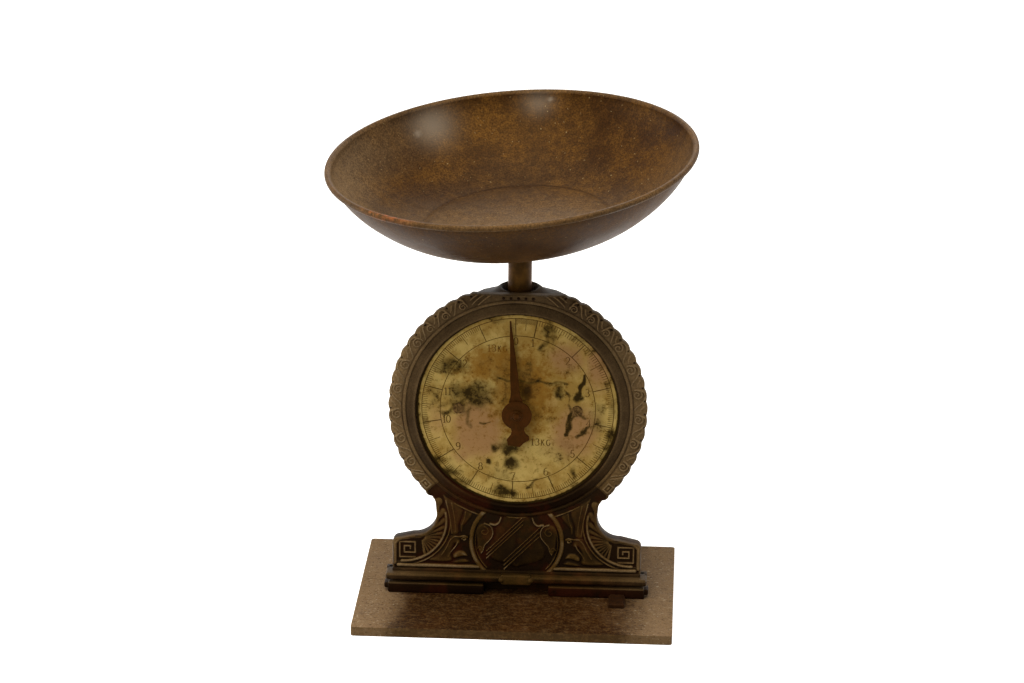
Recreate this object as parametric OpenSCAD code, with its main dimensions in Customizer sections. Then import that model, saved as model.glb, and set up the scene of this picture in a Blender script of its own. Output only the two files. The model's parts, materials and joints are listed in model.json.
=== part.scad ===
// Household dial scale with a cast iron front, a spring movement and a pressed pan.
// Z is up and the front faces -Y. The origin is the middle of the plate's underside.
// A value named _f is a distance in front of the XZ plane, so its Y is the same with a minus.

/* [Base plate] */
// Width of the plate
plate_w = 200; // [190:1:240]
// Depth of the plate
plate_d = 141.5; // [130:0.5:180]
// Thickness of the plate
plate_t = 6; // [5:0.5:9]
// Corner radius of the plate
plate_corner = 2; // [1:0.5:8]

/* [Cast iron front] */
// Height of the dial's centre above the plate
dial_rise = 124.5; // [122:0.5:130]
// Width of the ring's ornamental band, outside the bead
ring_band = 8.9; // [8:0.1:11]
// Height of the ring's lobes
lobe_h = 0.9; // [0.4:0.1:1.2]
// Angle from one lobe to the next
lobe_pitch = 6.3; // [5.4:0.1:8]
// Height of the ring's flat top above the dial's centre
ring_flat = 75.8; // [74.5:0.1:76.5]
// Angle from the top to the ring's curled ends
ring_end = 134.5; // [132:0.5:137]
// Distance of the face in front of the plane of the axis
face_f = 10.2; // [10:0.1:12]
// Thickness of the ring's flange
flange_t = 4.2; // [4:0.1:4.2]
// Height of the raised ornament
relief_h = 1.1; // [0.6:0.1:1.6]
// Half width of the casting at its waist
waist_half = 50.7; // [50:0.1:53]
// Height of the shoulder above the plate
shoulder_h = 37.5; // [35:0.5:40]
// Radius of the hollow between waist and shoulder
shoulder_r = 14.5; // [13:0.5:16]
// Half width of the pedestal
foot_half = 78.9; // [77:0.1:82]
// Depth of the pedestal's side cheeks behind the flange
cheek_d = 4; // [2:0.5:6]
// Wall of the side cheeks
cheek_wall = 3.2; // [2:0.2:5]

/* [Pedestal mouldings] */
// Height of the foot bars
foot_h = 7; // [6.4:0.1:8]
// Distance of the foot bars' front
foot_f = 16; // [15:0.5:18]
// Half width over the foot bars
foot_bar_half = 81.5; // [80:0.5:84]
// Half width of the open arch between the foot bars
arch_half = 20.5; // [16:0.5:24]
// Height of the ledge's underside above the plate
ledge_h = 9; // [8.6:0.1:10]
// Thickness of the ledge
ledge_t = 4.5; // [3.5:0.1:5]
// Distance of the ledge's front
ledge_f = 17; // [16:0.5:19]
// Half width of the ledge
ledge_half = 82.8; // [82:0.2:86]
// Distance of the channel behind the ledge
channel_f = 12.2; // [11.8:0.1:13]
// Height of the pedestal's base block above the plate
base_h = 15.4; // [15:0.1:17]
// Radius of the half round rib over the channel
rib_r = 1.5; // [1:0.1:2]
// Half width of the small plaque on the ledge
plaque_half = 9; // [6:0.5:12]

/* [Ornament] */
// Height of the roundel's centre above the plate
roundel_h = 35; // [34:0.5:36]
// Radius of the roundel's band
roundel_r = 28.9; // [27:0.1:30]
// Width of the raised bands
band_w = 2.2; // [1.4:0.1:2.6]
// Radius of the arc around each fan
fan_r = 28; // [26:0.5:29]
// Number of ribs in each fan
fan_ribs = 11; // [7:1:13]

/* [Dial and bezel] */
// Radius of the dial plate
dial_r = 66; // [65.5:0.1:67]
// Thickness of the dial plate
dial_t = 0.8; // [0.6:0.1:1.2]
// Inner radius of the bezel's lip
bezel_in_r = 63.7; // [62:0.1:64.5]
// Outer radius of the bezel
bezel_out_r = 69.9; // [69:0.1:70.2]
// Distance of the bezel's lip
bezel_f = 13.4; // [12.5:0.1:15]
// Distance from the dial's centre to each dial screw
dial_screw_x = 37.1; // [34:0.1:40]
// Radius of the dial screws' heads
dial_screw_r = 3.4; // [3:0.1:4]

/* [Pointer] */
// Length of the needle from the axis
needle_l = 60.4; // [56:0.2:61.5]
// Radius of the pointer's disc
hub_r = 9.35; // [8.5:0.1:10]
// Distance of the pointer's front
pointer_f = 21.5; // [20:0.1:24]
// Thickness of the pointer
pointer_t = 1.2; // [0.8:0.1:1.6]
// Lean of the pointer at rest
pointer_lean = 4.6; // [0:0.1:6]
// Distance from the axis to the end of the fishtail
tail_l = 21; // [19:0.5:24]

/* [Rear housing] */
// Radius of the drum
drum_r = 68; // [67.6:0.1:69]
// Wall of the drum and of the pedestal box
drum_wall = 3; // [2.4:0.1:3.2]
// Distance of the housing's rear edge behind the plane of the axis
drum_back = 19; // [18:0.5:24]
// Half width of the pedestal box
box_half = 46; // [45:0.5:46.5]
// Thickness of the pedestal box's floor
box_floor = 6; // [5:0.5:7]
// Thickness of the sheet cover
cover_t = 1.2; // [0.8:0.1:2]
// Height of the collar's rim above the dial's centre
collar_h = 76.3; // [75:0.1:78]
// Radius of the collar's opening
collar_r = 11.3; // [10.8:0.1:11.6]

/* [Stem and pan] */
// Distance of the stem behind the plane of the axis
stem_back = 5; // [4.6:0.1:5.6]
// Radius of the stem
stem_r = 7.43; // [6.8:0.01:7.8]
// Radius of the pan over its rolled rim
pan_r = 115.2; // [105:0.2:125]
// Height of the pan
pan_h = 45.5; // [38:0.5:55]
// Radius of the pan's flat floor
pan_floor_r = 60; // [50:1:70]
// Thickness of the pan's sheet
pan_t = 1.2; // [0.8:0.1:2]
// Radius of the pan's rolled rim
pan_bead_r = 1.9; // [1.4:0.1:2.4]
// Height of the pan's underside above the dial's centre
pan_rise = 117.5; // [112:0.5:130]
// Lean of the pan about the X axis
pan_lean_x = 4.85; // [0:0.05:6]
// Lean of the pan about the Y axis
pan_lean_y = -4.43; // [-6:0.05:6]
// Radius of the seat's flange
seat_r = 22; // [16:0.5:30]
// Height of the seat
seat_h = 10; // [9:0.5:12]

/* [Movement] */
// Module of the rack and the pinion
gear_module = 0.7; // [0.66:0.01:0.72]
// Number of teeth on the pinion
pinion_teeth = 12; // [12:1:12]
// Travel of the pan at full load
travel = 25; // [20:0.5:25]
// Width of the rack and the pinion
gear_w = 6; // [4:0.5:7]
// Radius of the spindle
spindle_r = 1.5; // [1.2:0.1:1.8]
// Thickness of the movement's plates
mplate_t = 1.5; // [1.2:0.1:2]
// Half length of the front movement plate
mplate_half = 62; // [61:0.2:62.5]
// Half height of both movement plates
mplate_rise = 14; // [13:0.5:14.5]
// Distance from the axis to the pillars along X
pillar_x = 19; // [18.6:0.1:19.4]
// Radius of the pillars
pillar_r = 2.5; // [2.2:0.1:2.8]
// Radius of the roller behind the rack
roller_r = 4.5; // [4:0.1:5]
// Thickness of the carriage from front to back
carriage_t = 8; // [7.2:0.2:9]
// Width of the carriage's side straps
strap_w = 3; // [2.8:0.1:3.2]
// Height of the carriage's bars
bar_h = 7; // [6:0.5:8]
// Radius of the guide rod
guide_r = 2.5; // [2:0.1:3]

/* [Springs] */
// Distance from the stem to each spring
spring_x = 30; // [29.5:0.1:31]
// Mean radius of the coils
coil_r = 4.4; // [4.2:0.1:4.8]
// Radius of the spring wire
wire_r = 0.7; // [0.5:0.05:0.9]
// Number of coils in each spring
coils = 22; // [16:1:26]

/* [Clearances] */
// Radial clearance of running fits
run_gap = 0.07; // [0.04:0.01:0.1]
// Radial clearance of fixed pins and screws
pin_gap = 0.05; // [0.02:0.01:0.1]
// Clearance between pieces that only lie side by side
side_gap = 0.3; // [0.2:0.05:0.5]

/* [Hidden] */
$fn = 64;

// Heights
plate_top = plate_t;
dial_z = plate_top + dial_rise;
foot_top = plate_top + foot_h;
base_top = plate_top + base_h;
ledge_z = plate_top + ledge_h;
shoulder_z = plate_top + shoulder_h;
roundel_z = plate_top + roundel_h;
flat_z = dial_z + ring_flat;
rim_z = dial_z + collar_h;
pan_z = dial_z + pan_rise;
stem_top = pan_z - 3;

// Depths, counted to the front
flange_f = face_f - flange_t;
cheek_f = flange_f - cheek_d;
shelf_f = face_f - 0.4 - dial_t;
dial_f = shelf_f + dial_t;
stem_f = -stem_back;

// Ring and waist
shoulder_c = [waist_half + shoulder_r, shoulder_z + shoulder_r];
corner_r = 4;
ring_bead_r = 1.15;
ring_bead_c = bezel_out_r + 1.25;
ring_r = ring_bead_c + ring_bead_r + ring_band;
flat_angle = acos(ring_flat/(ring_r - lobe_h));
lobe_steps = 6;
curl_drop = 3.4;
lobe_count = floor((ring_end - flat_angle)/lobe_pitch*lobe_steps);

// The pedestal box runs up until it meets the drum
box_rise = dial_rise - sqrt(pow(drum_r, 2) - pow(box_half, 2));

// Screws that hold the housing and the cover
lug_r = 4.2;
lug_ring_r = drum_r - drum_wall - lug_r + 0.2;
// The lugs on the drum stay just above the corner where the box meets it
lug_turn = asin(box_half/drum_r) + 2.43;
low_lug = [box_half - drum_wall - lug_r + 0.2, plate_top + box_floor + lug_r - 0.2];
casing_screw_r = 2;
screw_bite = 2.4;
foot_screw_r = 2;
foot_screw_l = 5;
foot_head_t = 2.2;
casting_screw_x = 64;
housing_screw_x = 32;
casting_screw_f = foot_f/2 + 1;
housing_screw_y = drum_back/2 + 2;
foot_screw_places = [for (x = [-1, 1], p = [[casting_screw_x, -casting_screw_f],
    [housing_screw_x, housing_screw_y]]) [x*p[0], p[1]]];
lug_places = concat([for (x = [-1, 1], y = [-1, 1])
    [x*lug_ring_r*sin(lug_turn), dial_z + y*lug_ring_r*cos(lug_turn)]],
    [for (x = [-1, 1]) [x*low_lug[0], low_lug[1]]]);

// Movement, placed about the spindle
pitch_r = gear_module*pinion_teeth/2;
pinion_tip_r = pitch_r + 0.85*gear_module;
pinion_root_r = pitch_r - 0.95*gear_module;
rack_add = 0.62*gear_module;
rack_ded = 1.1*gear_module;
base_r = pitch_r*cos(20);
backlash = 0.12;
flank_steps = 5;
// Half of a pinion tooth's angle on the base circle
tooth_half = 90/pinion_teeth - backlash/4/pitch_r*180/PI + turn_at(pitch_r);
rack_step = PI*gear_module;
rack_low = -8.6;
rack_teeth = floor((travel - 2*rack_low)/rack_step);
rack_screw_z = [rack_low + 5, rack_low + rack_teeth*rack_step - 6];
rack_screw_r = 1;
// Slides the rack's teeth so that one of them meets the pinion's gap at the axis
tooth_offset = -rack_low - rack_step*(floor(-rack_low/rack_step) + 0.5);
strap_in = 9.5;
strap_out = strap_in + strap_w;
roller_gap = 0.1;
roller_x = strap_out + roller_gap + roller_r;
movement_f0 = stem_f - carriage_t/2 - 3;
movement_f1 = flange_f - mplate_t;
top_clear = 21.5;
carriage_drop = 38.5;
carriage_top = dial_z + travel + top_clear;
carriage_low = dial_z - carriage_drop;
carriage_half = spring_x + 5;
window_top = carriage_top - bar_h;
window_low = carriage_low + bar_h;
spigot_r = 3;
spigot_l = 15.5;
spigot_end = carriage_top - spigot_l;
plug_r = coil_r - wire_r - side_gap;
plug_flange_r = coil_r + wire_r + 0.1;
plug_flange_t = 1.5;
stud_r = 2;
anchor_rise = 47.5;
lug_low_z = dial_z + anchor_rise;
coil_z0 = window_low + plug_flange_t + side_gap + wire_r;
coil_z1 = lug_low_z - plug_flange_t - side_gap - wire_r;
bush_r = 9.6;
bush_rise = 53.5;
bush_l = 13.3;
guide_drop = 12.5;
bush_low = dial_z + bush_rise;
bush_seat = bush_low + bush_l;
guide_top = dial_z - guide_drop;
guide_foot = plate_top + 2;
pillar_places = [for (x = [-1, 1], y = [-1, 1]) [x*pillar_x, y*9.5]];
pillar_screw_r = 1.2;
roller_pin_r = 1.2;
movement_screw_r = 1.4;
movement_screw_places = [for (x = [-1, 1], y = [-1, 1]) [x*(mplate_half - 2.6), y*9]];
boss_r = 3.4;
dial_shank_r = 1.6;

// Outside of the pan's wall
wall_steps = 14;
wall_power = 1.4;
wall_r = pan_r - pan_bead_r - 1.1;
wall_h = pan_h - pan_bead_r;

// Least clear space between the turns of a spring, worked out on its centre line
coil_pitch = (coil_z1 - coil_z0)/coils;
coil_slope = atan(coil_pitch/(2*PI*coil_r));
coil_gap = coil_pitch*cos(coil_slope) - 2*wire_r;
echo("least gap between the turns of a spring", coil_gap);

function polar(c, r, a) = [c[0] + r*cos(a), c[1] + r*sin(a)];
function arc(c, r, a0, a1, n) = [for (i = [0:n]) polar(c, r, a0 + (a1 - a0)*i/n)];
function mirrored(p) = concat(p, [for (i = [len(p) - 1:-1:0]) [-p[i][0], p[i][1]]]);

// Extrudes a shape drawn in X and Z from one distance to another
module front(f0, f1) {
    translate([0, -f0, 0])
        rotate([90, 0, 0])
            linear_extrude(f1 - f0)
                children();
}

// Turns local coordinates so that X and Y face the viewer and Z comes to the front
module at_dial() {
    translate([0, 0, dial_z])
        rotate([90, 0, 0])
            children();
}

// A round bar along the front direction, at a place on the dial
module rod_f(x, y, r, f0, f1) {
    at_dial()
        translate([x, y, f0])
            cylinder(r = r, h = f1 - f0);
}

// A round bar that stands up on the stem's plane
module rod_z(x, r, z0, z1, y = stem_back) {
    translate([x, y, z0])
        cylinder(r = r, h = z1 - z0);
}

// A block between two X, two distances to the front and two heights
module block(x0, x1, f0, f1, z0, z1) {
    translate([x0, -f1, z0])
        cube([x1 - x0, f1 - f0, z1 - z0]);
}

// A screw head with a slot, at a place on the dial, facing the front or the back
module slotted_head(x, y, r, f0, h, turn = 0, side = 1) {
    slot_w = 0.3*r;
    slot_d = 0.5*h;
    at_dial()
        translate([x, y, f0])
            rotate([side > 0 ? 0 : 180, 0, turn])
                difference() {
                    cylinder(r = r, h = h);
                    translate([-r, -slot_w/2, h - slot_d])
                        cube([2*r, slot_w, slot_d + 1]);
                }
}

// Radius of the ring's scalloped edge at an angle from the top
function lobe_edge(a) = ring_r - lobe_h*(1 - abs(cos(180*(a - flat_angle)/lobe_pitch)));
function ring_point(a) = [lobe_edge(a)*sin(a), dial_z + lobe_edge(a)*cos(a)];

// Right half of the casting's outline, from the flat top down to the base
function half_outline() = concat(
    [[ring_flat*tan(flat_angle), flat_z]],
    [for (i = [1:lobe_count]) ring_point(flat_angle + i*lobe_pitch/lobe_steps)],
    arc([ring_r*sin(ring_end) - curl_drop, dial_z + ring_r*cos(ring_end) + 0.4],
        curl_drop, -10, -100, 6),
    [[waist_half + 0.8, shoulder_c[1] + 9.5]],
    arc(shoulder_c, shoulder_r, 170, 272, 16),
    arc([foot_half - corner_r, shoulder_z - 2.2 - corner_r], corner_r, 80, 0, 5),
    [[foot_half, base_top - 1]]);

module base_plate() color("#4a3b2a") {
    head_r = foot_screw_r + 2;
    difference() {
        linear_extrude(plate_t)
            polygon(mirrored(concat(
                arc([plate_w/2 - plate_corner, plate_d/2 - plate_corner], plate_corner, 90, 0, 4),
                arc([plate_w/2 - plate_corner, plate_corner - plate_d/2], plate_corner, 0, -90, 4))));
        for (p = foot_screw_places) {
            translate([p[0], p[1], -1])
                cylinder(r = foot_screw_r + pin_gap, h = plate_t + 2);
            translate([p[0], p[1], -1])
                cylinder(r = head_r + side_gap, h = 1 + foot_head_t + side_gap);
        }
    }
}

module plate_clip() color("#2e2018") {
    clip_w = 10.3;
    clip_x1 = foot_bar_half - 12.1;
    clip_x0 = clip_x1 - clip_w;
    clip_l = 15;
    clip_t = 3.4;
    block(clip_x0, clip_x1, foot_f + side_gap, foot_f + clip_l, plate_top, plate_top + clip_t - 0.8);
    block(clip_x0 + 0.8, clip_x1 - 0.8, foot_f + side_gap, foot_f + clip_l - 0.8,
        plate_top, plate_top + clip_t);
}

// The raised bands, ribs and squares of the pedestal, drawn flat
module pedestal_pattern() {
    fan_c = [72.5, roundel_z + 13];
    fan_hub = [59, roundel_z + 0.5];
    key_x = [63.8, 74.6];
    key_z = [roundel_z - 13.4, roundel_z - 1];
    key_w = 1.3;
    key_in = 3.4;
    bar_w = 0.95;
    bar_step = 2.43;
    difference() {
        union() {
            translate([0, roundel_z])
                ring_2d(roundel_r, band_w);
            for (s = [-1, 1]) {
                intersection() {
                    translate([s*fan_c[0], fan_c[1]])
                        union() {
                            ring_2d(fan_r, 1.4);
                            ring_2d(fan_r + 2.4, 1.6);
                        }
                    polygon(mirrored(half_outline()));
                    translate([s*52, base_top + 23.7])
                        square([60, 40], center = true);
                }
                intersection() {
                    for (i = [0:fan_ribs - 1])
                        translate([s*fan_hub[0], fan_hub[1]])
                            rotate(s > 0 ? 118 + i*150/(fan_ribs - 1) : 62 - i*150/(fan_ribs - 1))
                                translate([3, -0.7])
                                    square([26, 1.4]);
                    translate([s*fan_c[0], fan_c[1]])
                        circle(r = fan_r - 0.5);
                    polygon(mirrored(half_outline()));
                }
                for (inset = [0, key_in])
                    translate([s*(key_x[0] + key_x[1])/2, (key_z[0] + key_z[1])/2])
                        frame_2d(key_x[1] - key_x[0] - 2*inset, key_z[1] - key_z[0] - 2*inset, key_w);
                translate([s*(foot_half - 1.5), (base_top + shoulder_z - corner_r)/2])
                    square([2.6, shoulder_z - corner_r - base_top - 3], center = true);
            }
            intersection() {
                for (z = [7.8, -10.6], i = [0:2])
                    translate([0, roundel_z + z + i*bar_step])
                        rotate(46)
                            square([60, bar_w], center = true);
                translate([0, roundel_z])
                    circle(r = roundel_r - band_w - 3);
                translate([-15, roundel_z - 16.5])
                    square([30, 33]);
            }
        }
        translate([0, dial_z])
            circle(r = ring_bead_c);
        translate([-100, 0])
            square([200, base_top + 0.3]);
    }
}

module ring_2d(r, w) {
    difference() {
        circle(r = r + w/2);
        circle(r = r - w/2);
    }
}

module frame_2d(w, h, line) {
    difference() {
        square([w, h], center = true);
        square([w - 2*line, h - 2*line], center = true);
    }
}

// The swelling band and the bead around the dial
module ring_mouldings() {
    band_in = ring_bead_c + ring_bead_r - 0.2;
    intersection() {
        at_dial()
            rotate_extrude($fn = 96)
                polygon([[band_in, flange_f + 1], [band_in, face_f + 0.1], [band_in + 1.6, face_f + 1],
                    [band_in + 4, face_f + 1.5], [band_in + 6.4, face_f + 1.1],
                    [band_in + 7.7, face_f + 0.3], [ring_r + 1, face_f - 1.8],
                    [ring_r + 1, flange_f + 1]]);
        front(0, face_f + 4)
            polygon(mirrored(half_outline()));
        block(-ring_r - 2, ring_r + 2, 0, face_f + 4, dial_z + ring_r*cos(ring_end), flat_z + 1);
    }
    at_dial()
        rotate_extrude($fn = 96)
            translate([ring_bead_c, face_f])
                circle(r = ring_bead_r, $fn = 24);
    bead_row_z = ring_flat - 2.2;
    for (i = [-2:2])
        at_dial()
            translate([i*4.5, bead_row_z, face_f])
                sphere(r = 1.1, $fn = 20);
}

// Ledge, channel, rib, plaque and foot bars under the pedestal
module base_mouldings() {
    nose = ledge_t/2;
    rib_x0 = 0.8*roundel_r;
    rib_x1 = foot_half - 3.9;
    block(-foot_half, foot_half, cheek_f, channel_f, foot_top, base_top);
    block(-ledge_half, ledge_half, cheek_f, ledge_f - nose, ledge_z, ledge_z + ledge_t);
    translate([-ledge_half, nose - ledge_f, ledge_z + nose])
        rotate([0, 90, 0])
            cylinder(r = nose, h = 2*ledge_half, $fn = 32);
    for (s = [-1, 1]) {
        translate([s*(rib_x0 + rib_x1)/2, -face_f, base_top + rib_r + 0.4])
            rotate([0, 90, 0])
                cylinder(r = rib_r, h = rib_x1 - rib_x0, center = true, $fn = 32);
        x0 = s > 0 ? arch_half : -foot_bar_half;
        x1 = s > 0 ? foot_bar_half : -arch_half;
        block(x0, x1, cheek_f, foot_f - 1, plate_top, foot_top);
        block(x0, x1, foot_f - 2, foot_f, plate_top, foot_top - 1);
        translate([s*plaque_half, -ledge_f - 0.2, ledge_z + nose])
            sphere(r = 1.7, $fn = 24);
    }
    block(-plaque_half, plaque_half, channel_f - 1, ledge_f + 0.6, ledge_z - 1, ledge_z + ledge_t + 1);
}

// Hollow side cheeks that give the pedestal its depth
module cheeks() {
    difference() {
        front(cheek_f, flange_f + 0.5)
            intersection() {
                polygon(mirrored(half_outline()));
                translate([-foot_half - 1, 0])
                    square([2*foot_half + 2, shoulder_c[1] + 9]);
            }
        front(cheek_f - 1, flange_f)
            for (s = [-1, 1])
                intersection() {
                    translate([s*(box_half + foot_half)/2, base_top + (shoulder_z - base_top)/2 - 3])
                        square([foot_half - box_half - 2*cheek_wall, shoulder_z - base_top - 6],
                            center = true);
                }
    }
}

module front_casting() color("#2c2417") {
    pocket_r = dial_r + side_gap;
    difference() {
        union() {
            front(flange_f, face_f)
                polygon(mirrored(half_outline()));
            cheeks();
            ring_mouldings();
            front(face_f - 0.2, face_f + relief_h)
                pedestal_pattern();
            base_mouldings();
        }
        rod_f(0, 0, pocket_r, shelf_f, face_f + 5);
        rod_f(0, 0, dial_r - 9, flange_f - 1, shelf_f + 1);
        block(-box_half - side_gap, box_half + side_gap, cheek_f - 1, flange_f, 0, dial_z);
        for (p = lug_places)
            rod_f(p[0], p[1] - dial_z, casing_screw_r + pin_gap, flange_f - 1, flange_f + screw_bite + 0.2);
        for (p = movement_screw_places)
            rod_f(p[0], p[1], movement_screw_r + pin_gap, flange_f - 1, flange_f + 2.2);
        for (s = [-1, 1])
            translate([s*casting_screw_x, -casting_screw_f, 0])
                cylinder(r = foot_screw_r + pin_gap, h = plate_top + foot_screw_l + 0.5);
    }
}

// The housing's outline, drawn flat, grown or shrunk by a distance
module housing_2d(grow) {
    translate([0, dial_z])
        circle(r = drum_r + grow, $fn = 96);
    translate([-box_half - grow, plate_top - min(grow, 0)])
        square([2*(box_half + grow), box_rise + min(grow, 0)]);
}

module housing_section() {
    difference() {
        union() {
            difference() {
                housing_2d(0);
                difference() {
                    housing_2d(-drum_wall);
                    translate([-box_half, 0])
                        square([2*box_half, plate_top + box_floor]);
                }
            }
            for (p = lug_places)
                translate(p)
                    circle(r = lug_r);
            intersection() {
                union() {
                    for (s = [-1, 1])
                        translate([s*spring_x - 5.5, lug_low_z])
                            square([11, 20]);
                    translate([-bush_r - 3.4, bush_low])
                        square([2*bush_r + 6.8, 20]);
                }
                housing_2d(-1);
            }
        }
        for (p = lug_places)
            translate(p)
                circle(r = casing_screw_r + pin_gap);
    }
}

module rear_housing() color("#2c2417") {
    flare = [[0, -24], [52, -24], [42, -17.5], [34, -11], [26.8, -7], [19.5, -4.8], [15.9, -2.7],
        [13.5, -0.7], [collar_r + 1, 0], [collar_r, -0.4], [0, -0.4]];
    difference() {
        union() {
            front(-drum_back, flange_f)
                housing_section();
            intersection() {
                translate([0, stem_back, rim_z])
                    rotate_extrude()
                        polygon(flare);
                block(-50, 50, -drum_back, flange_f, bush_low + 8, rim_z + 1);
                difference() {
                    block(-60, 60, -drum_back, flange_f, 0, rim_z + 1);
                    rod_f(0, 0, drum_r - 1, -drum_back - 1, flange_f + 1);
                }
            }
        }
        rod_z(0, collar_r, bush_seat, rim_z + 1);
        rod_z(0, bush_r + pin_gap, bush_low - 1, bush_seat + 1);
        rod_z(0, guide_r + pin_gap, guide_foot, plate_top + box_floor + 1);
        for (s = [-1, 1]) {
            rod_z(s*spring_x, stud_r + pin_gap, lug_low_z - 1, lug_low_z + 8);
            translate([s*housing_screw_x, housing_screw_y, 0])
                cylinder(r = foot_screw_r + pin_gap, h = plate_top + foot_screw_l + 0.5);
        }
    }
}

module back_cover() color("#2a2521") {
    front(-drum_back - cover_t, -drum_back)
        difference() {
            housing_2d(-side_gap);
            for (p = lug_places)
                translate(p)
                    circle(r = casing_screw_r + side_gap);
        }
}

module casing_screws() color("#4c443a") {
    back_f = -drum_back - cover_t;
    for (p = lug_places) {
        rod_f(p[0], p[1] - dial_z, casing_screw_r, back_f - 0.1, flange_f + screw_bite);
        slotted_head(p[0], p[1] - dial_z, 3.8, back_f, 2, 35, -1);
    }
}

module foot_screws() color("#4c443a") {
    for (p = foot_screw_places) {
        translate([p[0], p[1], foot_head_t])
            cylinder(r = foot_screw_r, h = plate_top + foot_screw_l - foot_head_t);
        translate([p[0], p[1], side_gap])
            cylinder(r = foot_screw_r + 2, h = foot_head_t);
    }
}

module bezel_ring() color("#2e2618") {
    lip = bezel_f - dial_f;
    pocket_r = dial_r + side_gap;
    at_dial()
        translate([0, 0, dial_f])
            rotate_extrude($fn = 96)
                polygon([[bezel_in_r, 0], [bezel_in_r, lip - 0.8], [bezel_in_r + 0.3, lip - 0.2],
                    [bezel_in_r + 0.9, lip], [bezel_in_r + 1.5, lip - 0.3], [bezel_in_r + 1.8, lip - 1],
                    [bezel_out_r, face_f - dial_f + 0.6], [bezel_out_r, face_f - dial_f],
                    [pocket_r - side_gap/2, face_f - dial_f], [pocket_r - side_gap/2, 0]]);
}

module dial_plate() color("#b39b6a") {
    difference() {
        rod_f(0, 0, dial_r, shelf_f, dial_f);
        rod_f(0, 0, boss_r + 0.8, shelf_f - 1, dial_f + 1);
        for (s = [-1, 1])
            rod_f(s*dial_screw_x, 0, dial_shank_r + pin_gap, shelf_f - 1, dial_f + 1);
    }
}

module dial_posts() color("#8b7340") {
    for (s = [-1, 1])
        difference() {
            rod_f(s*dial_screw_x, 0, dial_shank_r + 1.6, flange_f, shelf_f);
            rod_f(s*dial_screw_x, 0, dial_shank_r + pin_gap, flange_f - 1, shelf_f + 1);
        }
}

module dial_screws() color("#5a4527") {
    head_t = 1.5;
    for (s = [-1, 1]) {
        rod_f(s*dial_screw_x, 0, dial_shank_r, flange_f - mplate_t, dial_f + 0.2);
        slotted_head(s*dial_screw_x, 0, dial_screw_r, dial_f, head_t, s < 0 ? 90 : 132);
    }
}

module movement_front_plate() color("#80776a") {
    difference() {
        front(movement_f1, flange_f)
            translate([0, dial_z])
                square([2*mplate_half, 2*mplate_rise], center = true);
        rod_f(0, 0, spindle_r + run_gap, movement_f1 - 1, flange_f + 1);
        for (s = [-1, 1])
            rod_f(s*dial_screw_x, 0, dial_shank_r + pin_gap, movement_f1 - 1, flange_f + 1);
        for (p = movement_screw_places)
            rod_f(p[0], p[1], movement_screw_r + pin_gap, movement_f1 - 1, flange_f + 1);
        for (p = pillar_places)
            rod_f(p[0], p[1], pillar_screw_r + pin_gap, movement_f1 - 1, flange_f + 1);
        rod_f(roller_x, 0, roller_pin_r + pin_gap, movement_f1 - 1, flange_f + 1);
    }
}

module movement_back_plate() color("#80776a") {
    difference() {
        front(movement_f0 - mplate_t, movement_f0)
            translate([0, dial_z])
                square([2*(pillar_x + pillar_r + 2), 2*mplate_rise], center = true);
        rod_f(0, 0, spindle_r + run_gap, movement_f0 - 3, movement_f0 + 1);
        rod_f(roller_x, 0, roller_pin_r + pin_gap, movement_f0 - 3, movement_f0 + 1);
        for (p = pillar_places)
            rod_f(p[0], p[1], pillar_screw_r + pin_gap, movement_f0 - 3, movement_f0 + 1);
    }
}

module movement_pillars() color("#a08a4e") {
    for (p = pillar_places)
        difference() {
            rod_f(p[0], p[1], pillar_r, movement_f0, movement_f1);
            rod_f(p[0], p[1], pillar_screw_r + pin_gap, movement_f0 - 1, movement_f0 + 5.2);
            rod_f(p[0], p[1], pillar_screw_r + pin_gap, movement_f1 - 5.2, movement_f1 + 1);
        }
}

module pillar_screws() color("#6a6358") {
    head_t = 1.2;
    bite = 5;
    back_f = movement_f0 - mplate_t;
    for (p = pillar_places) {
        rod_f(p[0], p[1], pillar_screw_r, movement_f1 - bite, flange_f + 0.1);
        slotted_head(p[0], p[1], 2.2, flange_f, head_t, 20);
        rod_f(p[0], p[1], pillar_screw_r, back_f - 0.1, movement_f0 + bite);
        slotted_head(p[0], p[1], 2.2, back_f, head_t, 70, -1);
    }
}

module movement_screws() color("#6a6358") {
    for (p = movement_screw_places) {
        rod_f(p[0], p[1], movement_screw_r, movement_f1 - 0.1, flange_f + 2);
        slotted_head(p[0], p[1], 2.5, movement_f1, 1.4, 50, -1);
    }
}

module roller_pin() color("#6a6358") {
    rod_f(roller_x, 0, roller_pin_r, movement_f0 - mplate_t, flange_f);
}

module rack_roller() color("#b08d3c") {
    hub_w = movement_f1 - movement_f0 - 2*side_gap;
    difference() {
        union() {
            rod_f(roller_x, 0, 2.4, movement_f0 + side_gap, movement_f0 + side_gap + hub_w);
            rod_f(roller_x, 0, roller_r, stem_f - gear_w/2, stem_f + gear_w/2);
        }
        rod_f(roller_x, 0, roller_pin_r + run_gap, movement_f0 - 1, movement_f1 + 1);
    }
}

module guide_rod() color("#77716a") {
    rod_z(0, guide_r, guide_foot, guide_top);
}

module stem_bush() color("#b08d3c") {
    bush_flange_r = min(collar_r, stem_back + flange_f) - side_gap/2;
    difference() {
        union() {
            rod_z(0, bush_r, bush_low, bush_seat);
            rod_z(0, bush_flange_r, bush_seat, bush_seat + 2);
        }
        rod_z(0, stem_r + run_gap, bush_low - 1, bush_seat + 3);
    }
}

module spring_plugs_upper() color("#8b7340") {
    for (s = [-1, 1]) {
        rod_z(s*spring_x, stud_r, lug_low_z - 0.1, lug_low_z + 7.6);
        rod_z(s*spring_x, plug_flange_r, lug_low_z - plug_flange_t, lug_low_z);
        rod_z(s*spring_x, plug_r, lug_low_z - plug_flange_t - 8, lug_low_z - plug_flange_t + 0.1);
    }
}

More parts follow.
